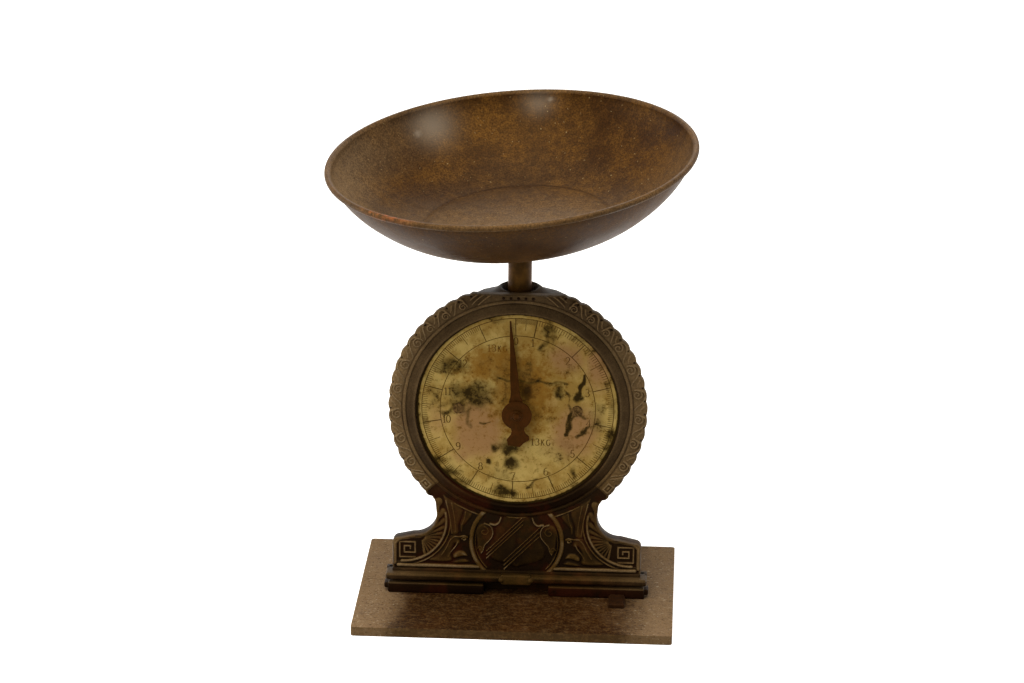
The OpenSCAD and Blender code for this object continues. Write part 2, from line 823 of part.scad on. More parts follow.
// One extension spring: an unbroken tube swept along a helix
module spring(x) {
    steps = 8;
    sides = 6;
    rings = coils*steps;
    pts = [for (i = [0:rings], j = [0:sides - 1])
        let (a = 360*i/steps, b = 360*j/sides, r = coil_r + wire_r*cos(b))
        [r*cos(a), r*sin(a), coil_z0 + coil_pitch*i/steps + wire_r*sin(b)]];
    walls = [for (i = [0:rings - 1], j = [0:sides - 1])
        let (k = (j + 1)%sides)
        each [[i*sides + j, i*sides + k, (i + 1)*sides + k],
            [i*sides + j, (i + 1)*sides + k, (i + 1)*sides + j]]];
    last = rings*sides;
    caps = [for (j = [1:sides - 2]) each [[0, j + 1, j], [last, last + j, last + j + 1]]];
    translate([x, stem_back, 0])
        polyhedron(points = pts, faces = concat(walls, caps));
}

module spring_left() color("#8a8378") {
    spring(-spring_x);
}

module spring_right() color("#8a8378") {
    spring(spring_x);
}

module spindle() color("#8a8378") {
    rod_f(0, 0, spindle_r, movement_f0 - mplate_t - 0.4, pointer_f + 1);
    rod_f(0, 0, 2.4, stem_f + gear_w/2, movement_f1 - side_gap);
}

// Angle in degrees by which an involute has turned at a radius
function roll_at(r) = sqrt(pow(r/base_r, 2) - 1)*180/PI;
function turn_at(r) = roll_at(r) - atan(roll_at(r)*PI/180);

// One tooth flank of the pinion, as points from root to tip
function flank(side) = concat(
    [[pinion_root_r, side*(tooth_half + 1.5)], [base_r, side*tooth_half]],
    [for (i = [1:flank_steps])
        let (r = base_r + (pinion_tip_r - base_r)*i/flank_steps)
        [r, side*(tooth_half - turn_at(r))]]);
function reversed(p) = [for (i = [len(p) - 1:-1:0]) p[i]];

module pinion() color("#b08d3c") {
    outline = [for (t = [0:pinion_teeth - 1], q = concat(flank(-1), reversed(flank(1))))
        let (a = q[1] + 360*(t + 0.5)/pinion_teeth)
        [q[0]*cos(a), q[0]*sin(a)]];
    difference() {
        union() {
            at_dial()
                translate([0, 0, stem_f - gear_w/2])
                    linear_extrude(gear_w)
                        polygon(outline);
            rod_f(0, 0, pinion_root_r - 0.4, movement_f0 + side_gap, stem_f - gear_w/2 + 0.1);
        }
        rod_f(0, 0, spindle_r + 0.01, movement_f0 - 1, movement_f1);
    }
}

// The pointer lies flat at its disc, and its needle bends back towards the dial
module pointer() color("#4a2f22") {
    back_f = pointer_f - pointer_t;
    tip_f = dial_f + 2.2;
    bend = atan((back_f - tip_f)/needle_l);
    root_w = 4.2;
    needle = mirrored([[0.45, needle_l - 0.4], [1.7, needle_l*0.62], [2.6, needle_l*0.4],
        [2.7, hub_r + 6], [3.2, hub_r + 2.5], [root_w, hub_r], [root_w, hub_r*0.4]]);
    tail = [[-4.4, -hub_r*0.8], [-3.95, -10.3], [-4.8, -12.6], [-7.4, -15.5], [-6.9, 1.5 - tail_l],
        [-2.2, 0.6 - tail_l], [0.4, -tail_l], [3.2, 2.6 - tail_l], [6.8, 4.4 - tail_l], [6.6, -14.2],
        [4.6, -12.2], [3.95, -10.3], [4.4, -hub_r*0.8]];
    difference() {
        at_dial()
            rotate(pointer_lean) {
                translate([0, 0, back_f])
                    cylinder(r = hub_r, h = pointer_t);
                translate([0, 0, back_f])
                    linear_extrude(pointer_t)
                        polygon(tail);
                translate([0, 0, back_f])
                    rotate([-bend, 0, 0])
                        linear_extrude(pointer_t*0.8)
                            polygon(needle);
                translate([0, 0, dial_f + side_gap])
                    cylinder(r = boss_r, h = back_f - dial_f);
            }
        rod_f(0, 0, spindle_r + 0.01, 0, pointer_f + 1);
    }
}

module pointer_cap() color("#5a3b2a") {
    difference() {
        at_dial()
            translate([0, 0, pointer_f])
                rotate_extrude($fn = 40)
                    polygon(concat([[0, 0], [3.7, 0], [3.7, 0.7], [3.2, 1], [2.4, 1]],
                        arc([0, 1], 2.4, 15, 90, 6)));
        rod_f(0, 0, spindle_r + 0.01, pointer_f - 1, pointer_f + 1.2);
    }
}

// The hanging frame: two bars and two straps around the spindle
module carriage() color("#6f675c") {
    difference() {
        translate([0, stem_back + carriage_t/2, 0])
            rotate([90, 0, 0])
                linear_extrude(carriage_t)
                    difference() {
                        union() {
                            translate([-strap_out, carriage_low])
                                square([2*strap_out, carriage_top - carriage_low]);
                            translate([-carriage_half, carriage_low])
                                square([2*carriage_half, bar_h]);
                        }
                        translate([-strap_in, window_low])
                            square([2*strap_in, window_top - window_low]);
                    }
        rod_z(0, spigot_r + pin_gap, window_top - 1, carriage_top + 1);
        rod_z(0, guide_r + run_gap, carriage_low - 1, window_low + 1);
        for (s = [-1, 1])
            rod_z(s*spring_x, stud_r + pin_gap, carriage_low - 1, window_low + 1);
        for (z = rack_screw_z)
            translate([strap_in - 1, stem_back, dial_z + z])
                rotate([0, 90, 0]) {
                    cylinder(r = rack_screw_r + pin_gap, h = strap_w + 2);
                    translate([0, 0, 1 + strap_w - 1.7])
                        cylinder(r = 2.1, h = 3);
                }
    }
}

module rack() color("#b08d3c") {
    root_x = pitch_r + rack_ded;
    tip_x = pitch_r - rack_add;
    half_tooth = rack_step/4 - backlash/4;
    slope = tan(20);
    teeth = [for (i = [0:rack_teeth - 1])
        let (z = rack_low + (i + 0.5)*rack_step + tooth_offset)
        each [[root_x, z - half_tooth - slope*rack_ded], [tip_x, z - half_tooth + slope*rack_add],
            [tip_x, z + half_tooth - slope*rack_add], [root_x, z + half_tooth + slope*rack_ded]]];
    top = rack_low + rack_teeth*rack_step + 0.6;
    difference() {
        translate([0, stem_back + gear_w/2, dial_z])
            rotate([90, 0, 0])
                linear_extrude(gear_w)
                    polygon(concat([[strap_in, rack_low - 0.6], [root_x, rack_low - 0.6]], teeth,
                        [[root_x, top], [strap_in, top]]));
        for (z = rack_screw_z)
            translate([root_x + 0.8, stem_back, dial_z + z])
                rotate([0, 90, 0])
                    cylinder(r = rack_screw_r + pin_gap, h = strap_in);
    }
}

module rack_screws() color("#6a6358") {
    root_x = pitch_r + rack_ded;
    head_t = 1.5;
    for (z = rack_screw_z)
        translate([0, stem_back, dial_z + z])
            rotate([0, 90, 0]) {
                translate([0, 0, root_x + 1])
                    cylinder(r = rack_screw_r, h = strap_out - 0.1 - root_x - 1);
                translate([0, 0, strap_out - 0.1 - head_t])
                    cylinder(r = 2, h = head_t);
            }
}

module stem() color("#5b4a26") {
    rod_z(0, stem_r, carriage_top, stem_top);
    rod_z(0, spigot_r, spigot_end, carriage_top + 0.1);
}

module stem_nut() color("#6a6358") {
    nut_h = 5;
    difference() {
        translate([0, stem_back, window_top - nut_h])
            cylinder(r = 6, h = nut_h, $fn = 6);
        rod_z(0, spigot_r + 0.02, window_top - nut_h - 1, window_top + 1);
    }
}

module spring_plugs_lower() color("#8b7340") {
    for (s = [-1, 1]) {
        rod_z(s*spring_x, stud_r, carriage_low - 4.5, window_low + 0.1);
        rod_z(s*spring_x, plug_flange_r, window_low, window_low + plug_flange_t);
        rod_z(s*spring_x, plug_r, window_low + plug_flange_t - 0.1, window_low + plug_flange_t + 8);
    }
}

module spring_nuts() color("#6a6358") {
    nut_h = 3.5;
    for (s = [-1, 1])
        difference() {
            translate([s*spring_x, stem_back, carriage_low - nut_h])
                cylinder(r = 4, h = nut_h, $fn = 6);
            rod_z(s*spring_x, stud_r + 0.02, carriage_low - nut_h - 1, carriage_low + 1);
        }
}

// Places children on the leaning underside of the pan, on the stem's axis
module on_pan() {
    translate([0, stem_back, pan_z])
        rotate([pan_lean_x, pan_lean_y, 0])
            children();
}

module pan_seat() color("#4a3a22") {
    seat_t = 3;
    difference() {
        union() {
            on_pan()
                translate([0, 0, -seat_t])
                    cylinder(r = seat_r, h = seat_t);
            intersection() {
                rod_z(0, stem_r + 3.2, pan_z - seat_h, pan_z + 2);
                on_pan()
                    translate([0, 0, -2*seat_h])
                        cylinder(r = seat_r, h = 2*seat_h);
            }
        }
        rod_z(0, stem_r + pin_gap, pan_z - seat_h - 1, stem_top);
    }
}

// Outside of the pan's wall: a superellipse from the flat floor to the rim
function wall_point(a) = [pan_floor_r + (wall_r - pan_floor_r)*pow(sin(a), wall_power),
    wall_h*(1 - pow(cos(a), wall_power))];

module pan() color("#5e4322") {
    outer = [for (i = [1:wall_steps]) wall_point(90*i/wall_steps)];
    inner = [for (i = [0:wall_steps - 1])
        let (p = outer[wall_steps - 1 - i], a = 90*(1 - i/wall_steps))
        [p[0] - pan_t*sin(max(a, 12)), p[1] + pan_t*cos(a)*0.99]];
    on_pan()
        translate([-2.3, 0.2, 0])
            rotate_extrude($fn = 128) {
                polygon(concat([[0, 0], [pan_floor_r, 0]], outer, inner, [[pan_floor_r - 1, pan_t], [0, pan_t]]));
                translate([pan_r - pan_bead_r, wall_h])
                    circle(r = pan_bead_r, $fn = 24);
            }
}

base_plate();
plate_clip();
front_casting();
rear_housing();
back_cover();
casing_screws();
foot_screws();
bezel_ring();
dial_plate();
dial_posts();
dial_screws();
movement_front_plate();
movement_back_plate();
movement_pillars();
pillar_screws();
movement_screws();
roller_pin();
rack_roller();
guide_rod();
stem_bush();
spring_plugs_upper();
spring_left();
spring_right();
spindle();
pinion();
pointer();
pointer_cap();
carriage();
rack();
rack_screws();
stem();
stem_nut();
spring_plugs_lower();
spring_nuts();
pan_seat();
pan();
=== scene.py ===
"""Looks of a household dial scale: cast iron front, stained dial, pressed pan, rusty plate."""

import json
import math
from contextlib import contextmanager

import bmesh
import bpy
import numpy as np
from bpy.props import FloatProperty, IntProperty, PointerProperty, StringProperty
from mathutils import Matrix, Vector


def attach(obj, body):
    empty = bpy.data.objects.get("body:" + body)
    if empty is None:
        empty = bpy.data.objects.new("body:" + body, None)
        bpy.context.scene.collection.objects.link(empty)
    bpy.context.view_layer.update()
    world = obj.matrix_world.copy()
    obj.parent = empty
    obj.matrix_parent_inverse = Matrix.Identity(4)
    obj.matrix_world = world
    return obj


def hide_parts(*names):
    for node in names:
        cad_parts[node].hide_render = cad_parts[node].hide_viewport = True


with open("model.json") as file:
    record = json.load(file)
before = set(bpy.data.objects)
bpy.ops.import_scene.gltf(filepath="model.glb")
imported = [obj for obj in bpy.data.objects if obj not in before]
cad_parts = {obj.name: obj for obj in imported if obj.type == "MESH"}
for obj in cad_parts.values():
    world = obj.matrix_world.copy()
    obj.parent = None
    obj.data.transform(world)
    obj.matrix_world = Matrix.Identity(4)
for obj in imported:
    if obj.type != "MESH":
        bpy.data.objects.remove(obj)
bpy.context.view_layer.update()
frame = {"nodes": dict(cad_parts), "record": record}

bl_info = {
    "name": "Household dial scale",
    "version": (1, 0, 0),
    "blender": (4, 5, 0),
    "location": "3D View > Sidebar > Dial scale",
    "description": "Dresses the packed dial scale with its castings, dial, pan and rust",
    "category": "Object",
}

MM = 0.001
CASING = "casing"
CARRIER = "load_carrier"
ARBOR = "pointer_arbor"

# Millimetres, in the same frame as the solids. F is a distance in front of the XZ plane.
# Height of the dial's axis
DIAL_Z = 130.5
# Plain face of the casting, and the back of its ornament
FACE_F = 10.2
BACK_F = 6.0
# Front of the dial's sheet, and of the print on it
DIAL_F = 9.8
PRINT_F = DIAL_F + 0.03
# Top of the block under the pedestal
BASE_TOP = 21.4
# The stem's place behind the XZ plane, and the height of the pan's floor on it
STEM_Y = 5.0
PAN_Z = 248.0


# Sizes and colours


class DIALSCALE_PG_sizes(bpy.types.PropertyGroup):
    """Sizes that a user would change"""

    ornament_lift: FloatProperty(
        name="Ornament height", description="Height of the cast ornament over its ground",
        default=0.0011, min=0.0, max=0.003, unit="LENGTH", subtype="DISTANCE")
    lobe_lift: FloatProperty(
        name="Lobe height", description="Depth of the scallops in the ring's edge",
        default=0.0009, min=0.0, max=0.002, unit="LENGTH", subtype="DISTANCE")
    pan_dent: FloatProperty(
        name="Dent depth", description="Depth of the two dents in the pan's wall",
        default=0.0022, min=0.0, max=0.005, unit="LENGTH", subtype="DISTANCE")
    figure_height: FloatProperty(
        name="Figure height", description="Height of the dial's figures",
        default=0.005, min=0.003, max=0.007, unit="LENGTH", subtype="DISTANCE")
    line_width: FloatProperty(
        name="Dial line width", description="Width of the dial's circles and long marks",
        default=0.0005, min=0.0002, max=0.001, unit="LENGTH", subtype="DISTANCE")
    bead_count: IntProperty(
        name="Beads", description="Number of beads in the row on top of the ring",
        default=5, min=1, max=9)
    bead_size: FloatProperty(
        name="Bead radius", description="Radius of the beads on top of the ring",
        default=0.001, min=0.0005, max=0.0015, unit="LENGTH", subtype="DISTANCE")


class DIALSCALE_PG_colours(bpy.types.PropertyGroup):
    """Finishes' main colours, as sRGB hex"""

    japan_dark: StringProperty(name="Japan", description="Dark lacquer in the recesses", default="#1a0d05")
    japan_dust: StringProperty(name="Dusty japan", description="Worn and dusty ridges", default="#7a6344")
    plate_rust: StringProperty(name="Plate", description="Rusty plate", default="#80694f")
    dial_paint: StringProperty(name="Dial", description="Yellowed dial paint", default="#caae66")
    dial_stain: StringProperty(name="Dial stain", description="Dark stains of the dial", default="#1f1504")
    pan_brown: StringProperty(name="Pan", description="Brown rust of the pan", default="#3d260c")
    pan_ochre: StringProperty(name="Pan ochre", description="Ochre mottling of the pan", default="#4d3210")
    pointer_rust: StringProperty(name="Pointer", description="Rusty pointer", default="#331a04")
    stem_brown: StringProperty(name="Stem", description="Browned steel of the stem", default="#40290b")


def sizes():
    """The sizes that the panel shows."""
    return bpy.context.scene.dial_scale_sizes


def colours():
    """The colours that the panel shows."""
    return bpy.context.scene.dial_scale_colours


def linear(code):
    """An sRGB hex colour as linear RGBA."""
    parts = [int(code[i:i + 2], 16)/255 for i in (1, 3, 5)]
    return tuple(c/12.92 if c <= 0.04045 else ((c + 0.055)/1.055)**2.4 for c in parts) + (1.0,)


# Nodes and materials

# What grimy and rusty surfaces mirror is tinted by the dirt on them
GRIME_TINT = "#d9b27c"

# Where the casting is painted darker, as shade under the dial and the pan, and how far that reaches; metres
SHADE_PLACE = (0.0, -0.012, 0.036)
SHADE_FULL = 0.03
SHADE_END = 0.105


def put(tree, kind, settings=None, sockets=None):
    """Add one node, set its properties, and set or link its inputs by name or index."""
    made = tree.nodes.new(kind)
    for key, value in (settings or {}).items():
        setattr(made, key, value)
    for key, value in (sockets or {}).items():
        if isinstance(value, bpy.types.NodeSocket):
            tree.links.new(value, made.inputs[key])
        else:
            made.inputs[key].default_value = value
    return made


def start_material(name, grains, marks=()):
    """An empty material with its grains and marks. A grain is a noise over the object's own
    coordinates: size of its largest grains in millimetres, octaves, roughness and, where it
    is drawn out along X, by how much. A mark is a point attribute of the piece."""
    material = bpy.data.materials.new(name)
    material.use_nodes = True
    tree = material.node_tree
    tree.nodes.clear()
    where = put(tree, "ShaderNodeTexCoord").outputs["Object"]
    values = []
    for size, octaves, rough, *drawn in grains:
        place = where
        if drawn:
            place = put(tree, "ShaderNodeVectorMath", {"operation": "MULTIPLY"}, {
                0: where, 1: (1/drawn[0], 1.0, 1.0)}).outputs[0]
        values.append(put(tree, "ShaderNodeTexNoise", {}, {
            "Vector": place, "Scale": 1/(size*MM), "Detail": octaves, "Roughness": rough}).outputs[0])
    for mark in marks:
        values.append(put(tree, "ShaderNodeAttribute", {"attribute_name": mark}).outputs["Fac"])
    return material, tree, where, values


def end_material(tree, colour, roughness, height, depth, metallic=0.0, shine=0.15):
    """The surface, with bumps from height that are depth millimetres deep. A shine under 0.5
    is for grimy and rusty surfaces, which mirror less than clean ones."""
    bump = put(tree, "ShaderNodeBump", {}, {"Height": height, "Distance": depth*MM})
    shader = put(tree, "ShaderNodeBsdfPrincipled", {}, {
        "Base Color": colour, "Roughness": roughness, "Metallic": metallic,
        "Specular IOR Level": shine, "Specular Tint": linear(GRIME_TINT), "Normal": bump.outputs[0]})
    put(tree, "ShaderNodeOutputMaterial", {}, {"Surface": shader.outputs[0]})


def cover(tree, *masks):
    """The product of masks. Each is a value, or a value with its low and high end and, where
    they aren't 0 and 1, what the mask is below and above them."""
    product = None
    for mask in masks:
        if isinstance(mask, tuple):
            value, low, high, least, most = mask + (0.0, 1.0)[len(mask) - 3:]
            mask = put(tree, "ShaderNodeMapRange", {"interpolation_type": "SMOOTHSTEP"}, {
                "Value": value, "From Min": low, "From Max": high,
                "To Min": least, "To Max": most}).outputs[0]
        if product is not None:
            mask = put(tree, "ShaderNodeMath", {"operation": "MULTIPLY"}, {0: product, 1: mask}).outputs[0]
        product = mask
    return product


def coat(tree, under, over, *masks):
    """A coat of colour over another, where its masks let it show."""
    under, over = (linear(c) if isinstance(c, str) else c for c in (under, over))
    return put(tree, "ShaderNodeMix", {"data_type": "RGBA"}, {
        0: cover(tree, *masks), 6: under, 7: over}).outputs[2]


def fray(tree, mask, *grains):
    """A mask broken up by grains, each with how far it spreads the mask."""
    for grain, reach in grains:
        shift = put(tree, "ShaderNodeMath", {"operation": "MULTIPLY_ADD"}, {
            0: grain, 1: reach, 2: -reach/2}).outputs[0]
        mask = put(tree, "ShaderNodeMath", {"operation": "ADD"}, {0: mask, 1: shift}).outputs[0]
    return mask


def speckle(tree, colour, *mask):
    """A colour made darker and lighter by a fine grain."""
    tone = cover(tree, mask)
    grey = put(tree, "ShaderNodeCombineColor", {}, {0: tone, 1: tone, 2: tone}).outputs[0]
    return put(tree, "ShaderNodeMix", {"data_type": "RGBA", "blend_type": "MULTIPLY"}, {
        0: 1.0, 6: colour, 7: grey}).outputs[2]


def japanned_iron(name, dust=1.0):
    """Black japan on cast iron: the lacquer reads olive brown where dust and wear lie on
    the ridges, and near black in the ground. It is painted darker, as shade, low down under
    the dial and the pan, with a maroon cast in the ground there, and greyer away from it. The
    casting sand's grit is too fine to show in the render, so it is drawn at 0.9 mm."""
    material, tree, where, (patches, sand, lift) = start_material(
        name, [(23.8095, 6.0, 0.62), (0.90909, 3.0, 0.6)], ["relief"])
    c = colours()
    away = put(tree, "ShaderNodeVectorMath", {"operation": "DISTANCE"}, {
        0: where, 1: SHADE_PLACE}).outputs["Value"]
    # Painted shade round the pedestal under the dial and the pan: a darker ground with maroon patches, darker
    # ridges and less dust
    painted_shade = cover(tree, (away, SHADE_FULL, SHADE_END, 1.0, 0.0))
    out_of_shade = (away, SHADE_FULL, SHADE_END, 0.5, 1.0)
    wear_and_shade_share = fray(tree, lift, (patches, 0.7))
    ground = coat(tree, c.japan_dark, "#0d0502", painted_shade)
    ground = coat(tree, ground, "#2c0e05", (patches, 0.47, 0.62, 0.0, 0.85), painted_shade)
    ridges = coat(tree, c.japan_dust, "#6b4f24", painted_shade)
    body = coat(tree, ground, ridges, (wear_and_shade_share, 0.12, 0.95, 0.0, dust), out_of_shade)
    body = coat(tree, body, "#8a775a", (wear_and_shade_share, 0.85, 1.25, 0.0, 0.6))
    body = speckle(tree, body, sand, 0.3, 0.75, 0.75, 1.2)
    end_material(tree, body, cover(tree, (patches, 0.3, 0.7, 0.42, 0.62)), sand, 0.12, shine=0.1)
    return material


def rusted_plate_iron(name):
    """Rusted mild steel plate: fine brown rust, redder and darker in the middle as painted
    shade under the pan, paler and greyer at both ends, with pale mineral flecks and pits. Its rust
    lies in streaks along the plate. Real pits are finer, and are drawn at 1.4 mm to show."""
    material, tree, where, (clouds, pits, streaks, flecks) = start_material(name, [
        (38.4615, 8.0, 0.66), (1.42857, 4.0, 0.7), (3.0303, 6.0, 0.66, 2.0), (1.11111, 2.0, 0.5, 2.0)])
    across = put(tree, "ShaderNodeSeparateXYZ", {}, {"Vector": where}).outputs["X"]
    across = put(tree, "ShaderNodeMath", {"operation": "ABSOLUTE"}, {0: across}).outputs[0]
    # The middle is left darker as painted shade under the pan; the ends are paler, with the flecks
    end = fray(tree, cover(tree, (across, 0.05, 0.1)), (clouds, 1.6))
    rust = coat(tree, "#1e0d03", "#301805", (clouds, 0.36, 0.64))
    rust = coat(tree, rust, colours().plate_rust, (end, 0.1, 0.95))
    rust = coat(tree, rust, "#6e5638", (streaks, 0.46, 0.7, 0.0, 0.4))
    rust = coat(tree, rust, "#1d0d04", (streaks, 0.5, 0.34, 0.0, 0.4))
    rust = coat(tree, rust, "#604524", (pits, 0.46, 0.7, 0.0, 0.6))
    rust = coat(tree, rust, "#1d0d04", (pits, 0.5, 0.34, 0.0, 0.65))
    rust = coat(tree, rust, "#a8977c", (flecks, 0.64, 0.72, 0.0, 0.7), (end, 0.0, 0.8))
    # The front face is painted paler, as a painted highlight
    normal = put(tree, "ShaderNodeNewGeometry").outputs["True Normal"]
    facing = put(tree, "ShaderNodeSeparateXYZ", {}, {"Vector": normal}).outputs["Y"]
    rust = coat(tree, rust, "#70593a", (facing, -0.9, -0.4, 0.3, 0.0))
    end_material(tree, rust, cover(tree, (clouds, 0.3, 0.7, 0.6, 0.8)), pits, 0.3, shine=0.07)
    return material


def rusted_steel(name, base, spot, size, rough, metallic, shine=0.2):
    """Bare steel browned by rust: matte, with darker freckles of a size in millimetres."""
    material, tree, _, (clouds, fine) = start_material(name, [(size, 6.0, 0.6), (size/6, 3.0, 0.5)])
    colour = coat(tree, base, spot, (clouds, 0.38, 0.66))
    rough = cover(tree, (clouds, 0.3, 0.7, rough - 0.1, rough + 0.15))
    end_material(tree, colour, rough, fine, 0.1, metallic, shine)
    return material


def stained_dial_paint(name, ink=False):
    """Yellowed paint on a sheet dial. Dirt, rust, a pink undercoat and painted shadows come
    from the piece's own marks, whose soft edges are broken up by grain; the ink wears with them."""
    material, tree, _, (broad, blots, freckle, stain, rust, blush) = start_material(name, [
        (18.1818, 6.0, 0.65), (4.7619, 8.0, 0.72), (1.25, 5.0, 0.7)], ["stain", "rust", "blush"])
    c = colours()
    paint = coat(tree, "#a08040", c.dial_paint, (broad, 0.36, 0.64))
    paint = coat(tree, paint, "#a37c50", (fray(tree, blush, (broad, 1.0)), 0.12, 0.85))
    paint = coat(tree, paint, "#6b5322", (fray(tree, blots, (freckle, 0.5)), 0.51, 0.69, 0.0, 0.6))
    paint = coat(tree, paint, "#4a3610", (freckle, 0.6, 0.74, 0.0, 0.6))
    if ink:
        paint = coat(tree, paint, "#382709", (blots, 0.7, 0.5, 0.35, 0.92))
    # Rust goes from orange through brown to maroon where it is thickest; the maroon right of the pointer's
    # hub is painted shadow of the pointer
    rust_and_shadow = fray(tree, rust, (blots, 2.2))
    paint = coat(tree, paint, "#8a5c14", (rust_and_shadow, 0.05, 0.7, 0.0, 0.72))
    paint = coat(tree, paint, "#4a2d09", (rust_and_shadow, 0.75, 1.45, 0.0, 0.85))
    paint = coat(tree, paint, "#200d03", (rust_and_shadow, 1.35, 1.95, 0.0, 0.9))
    # A stain is a thin wide film, a darker one within it, and a near black core; the painted shadows at the
    # dial's edge and beside the pointer are drawn with the same coats
    paint = coat(tree, paint, "#4f4019", (fray(tree, stain, (broad, 1.6)), 0.12, 0.85, 0.0, 0.62))
    paint = coat(tree, paint, "#45340f", (fray(tree, stain, (blots, 2.6)), 0.15, 0.85, 0.0, 0.6))
    core = fray(tree, stain, (blots, 3.4), (freckle, 1.2))
    paint = coat(tree, paint, c.dial_stain, (core, 0.6, 1.15, 0.0, 0.93))
    end_material(tree, paint, cover(tree, (stain, 0.2, 0.8, 0.5, 0.75)), blots, 0.08, shine=0.18)
    return material


def browned_pan_steel(name):
    """Pressed steel pan with a handled brown patina: satin, finely mottled with ochre rust
    in the bowl, greyer where hands and dust have rubbed it, with painted highlights on glossy spots in the
    dents."""
    grains = [(33.3333, 8.0, 0.66), (4.7619, 8.0, 0.74), (1.11111, 5.0, 0.7), (1.78571, 2.0, 0.5)]
    material, tree, _, values = start_material(name, grains, ["ochre", "pale", "scrape", "dark", "sheen"])
    clouds, mottle, fine, flake, ochre, pale, scrape, dark, sheen = values
    c = colours()
    body = coat(tree, "#271404", c.pan_brown, (fray(tree, clouds, (mottle, 0.4)), 0.32, 0.68))
    gold = fray(tree, mottle, (clouds, 0.7), (fine, 0.25))
    body = coat(tree, body, c.pan_ochre, (gold, 0.385, 0.825), (clouds, 0.42, 0.6, 0.35, 1.15), ochre)
    body = coat(tree, body, "#6c563b", (mottle, 0.3, 0.62, 0.5, 1.0), pale)
    body = coat(tree, body, "#8c4a26", (mottle, 0.4, 0.56), scrape)
    body = coat(tree, body, "#201003", (mottle, 0.3, 0.6, 0.5, 1.0), dark)
    body = speckle(tree, body, fine, 0.34, 0.66, 0.55, 1.5)
    body = coat(tree, body, "#8f7a55", (flake, 0.7, 0.76, 0.0, 0.6))
    body = coat(tree, body, "#1d0f03", (flake, 0.3, 0.24, 0.0, 0.6))
    # Painted highlights on the far wall's glossy spots
    body = coat(tree, body, "#7a6e60", sheen, 0.8)
    satin = cover(tree, (clouds, 0.3, 0.7, 0.42, 0.56))
    rough = put(tree, "ShaderNodeMath", {"operation": "MULTIPLY_ADD"}, {
        0: sheen, 1: -0.12, 2: satin}).outputs[0]
    end_material(tree, body, rough, mottle, 0.16, metallic=0.1, shine=0.15)
    return material


# Mesh helpers


def place_data(name, data):
    """A new object in the scene for a mesh, a light or a camera."""
    made = bpy.data.objects.new(name, data)
    bpy.context.scene.collection.objects.link(made)
    return made


@contextmanager
def opened(mesh):
    """A mesh open for work, which is written back afterwards."""
    work = bmesh.new()
    work.from_mesh(mesh)
    yield work
    work.to_mesh(mesh)
    work.free()


def turn_outwards(mesh):
    """Turns the faces of closed shells outwards."""
    with opened(mesh) as work:
        bmesh.ops.recalc_face_normals(work, faces=work.faces)


def points_of(piece):
    """A piece's points in millimetres."""
    co = np.zeros(len(piece.data.vertices)*3, np.float32)
    piece.data.vertices.foreach_get("co", co)
    return co.reshape(-1, 3).astype(float)/MM


def mark_points(piece, **marks):
    """Writes point attributes, which the finishes read as marks."""
    for name, values in marks.items():
        data = piece.data.attributes.new(name, "FLOAT", "POINT")
        data.data.foreach_set("value", np.asarray(values, np.float32))


def make_piece(name, verts, faces, material, body, smooth):
    """A piece from points in millimetres, X, Y and Z in the shared frame."""
    mesh = bpy.data.meshes.new(name)
    mesh.from_pydata((np.asarray(verts, float)*MM).tolist(), [], faces)
    turn_outwards(mesh)
    piece = place_data(name, mesh)
    finish_piece(piece, material, body, smooth)
    return piece


def finish_piece(piece, material, body, smooth):
    """Gives a piece its finish, its body and its slot; edges sharper than smooth stay sharp."""
    piece.data.materials.clear()
    piece.data.materials.append(material)
    piece.data.shade_smooth()
    if smooth < 180:
        piece.data.set_sharp_from_angle(angle=math.radians(smooth))
    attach(piece, body)


def join_meshes(name, pieces):
    """One object from several, which are removed."""
    work = bmesh.new()
    for piece in pieces:
        work.from_mesh(piece.data)
        bpy.data.objects.remove(piece)
    mesh = bpy.data.meshes.new(name)
    work.to_mesh(mesh)
    work.free()
    return place_data(name, mesh)


def cad_copy(node, name, keep=None):
    """A merged copy of a node's mesh, with its flat faces joined; keep cuts away the rest."""
    mesh = frame["nodes"][node].data.copy()
    mesh.name = name
    with opened(mesh) as work:
        bmesh.ops.remove_doubles(work, verts=work.verts, dist=1e-6)
        if keep:
            point, normal = keep
            bmesh.ops.bisect_plane(work, geom=work.verts[:] + work.edges[:] + work.faces[:], dist=1e-7,
                                   plane_co=point, plane_no=normal, clear_outer=True)
        bmesh.ops.dissolve_limit(work, angle_limit=math.radians(0.5), verts=work.verts, edges=work.edges)
    return place_data(name, mesh)


def dress_copy(node, name, material, body, round_mm, smooth=25):
    """A node's shape with softened edges, which stands for the node."""
    piece = cad_copy(node, name)
    if round_mm:
        bevel = piece.modifiers.new("edges", "BEVEL")
        bevel.width = round_mm*MM
        bevel.segments = 2
        bevel.limit_method = "ANGLE"
        bevel.angle_limit = math.radians(40)
        bevel.harden_normals = False
        bake_modifiers(piece)
    finish_piece(piece, material, body, smooth)
    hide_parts(node)
    return piece


def bake_modifiers(piece):
    """Turns the evaluated result into the piece's own mesh."""
    depsgraph = bpy.context.evaluated_depsgraph_get()
    mesh = bpy.data.meshes.new_from_object(piece.evaluated_get(depsgraph))
    piece.modifiers.clear()
    old = piece.data
    piece.data = mesh
    bpy.data.meshes.remove(old)


def start_tree(name, inputs):
    """A Geometry Nodes tree whose inputs are given as label, kind and value. Returns the tree,
    its inputs as seen from inside, and their values by identifier."""
    tree = bpy.data.node_groups.new(name, "GeometryNodeTree")
    tree.interface.new_socket("Geometry", in_out="OUTPUT", socket_type="NodeSocketGeometry")
    values = {}
    for label, kind, value in inputs:
        socket = tree.interface.new_socket(label, in_out="INPUT", socket_type="NodeSocket" + kind)
        values[socket.identifier] = value
    return tree, put(tree, "NodeGroupInput").outputs, values


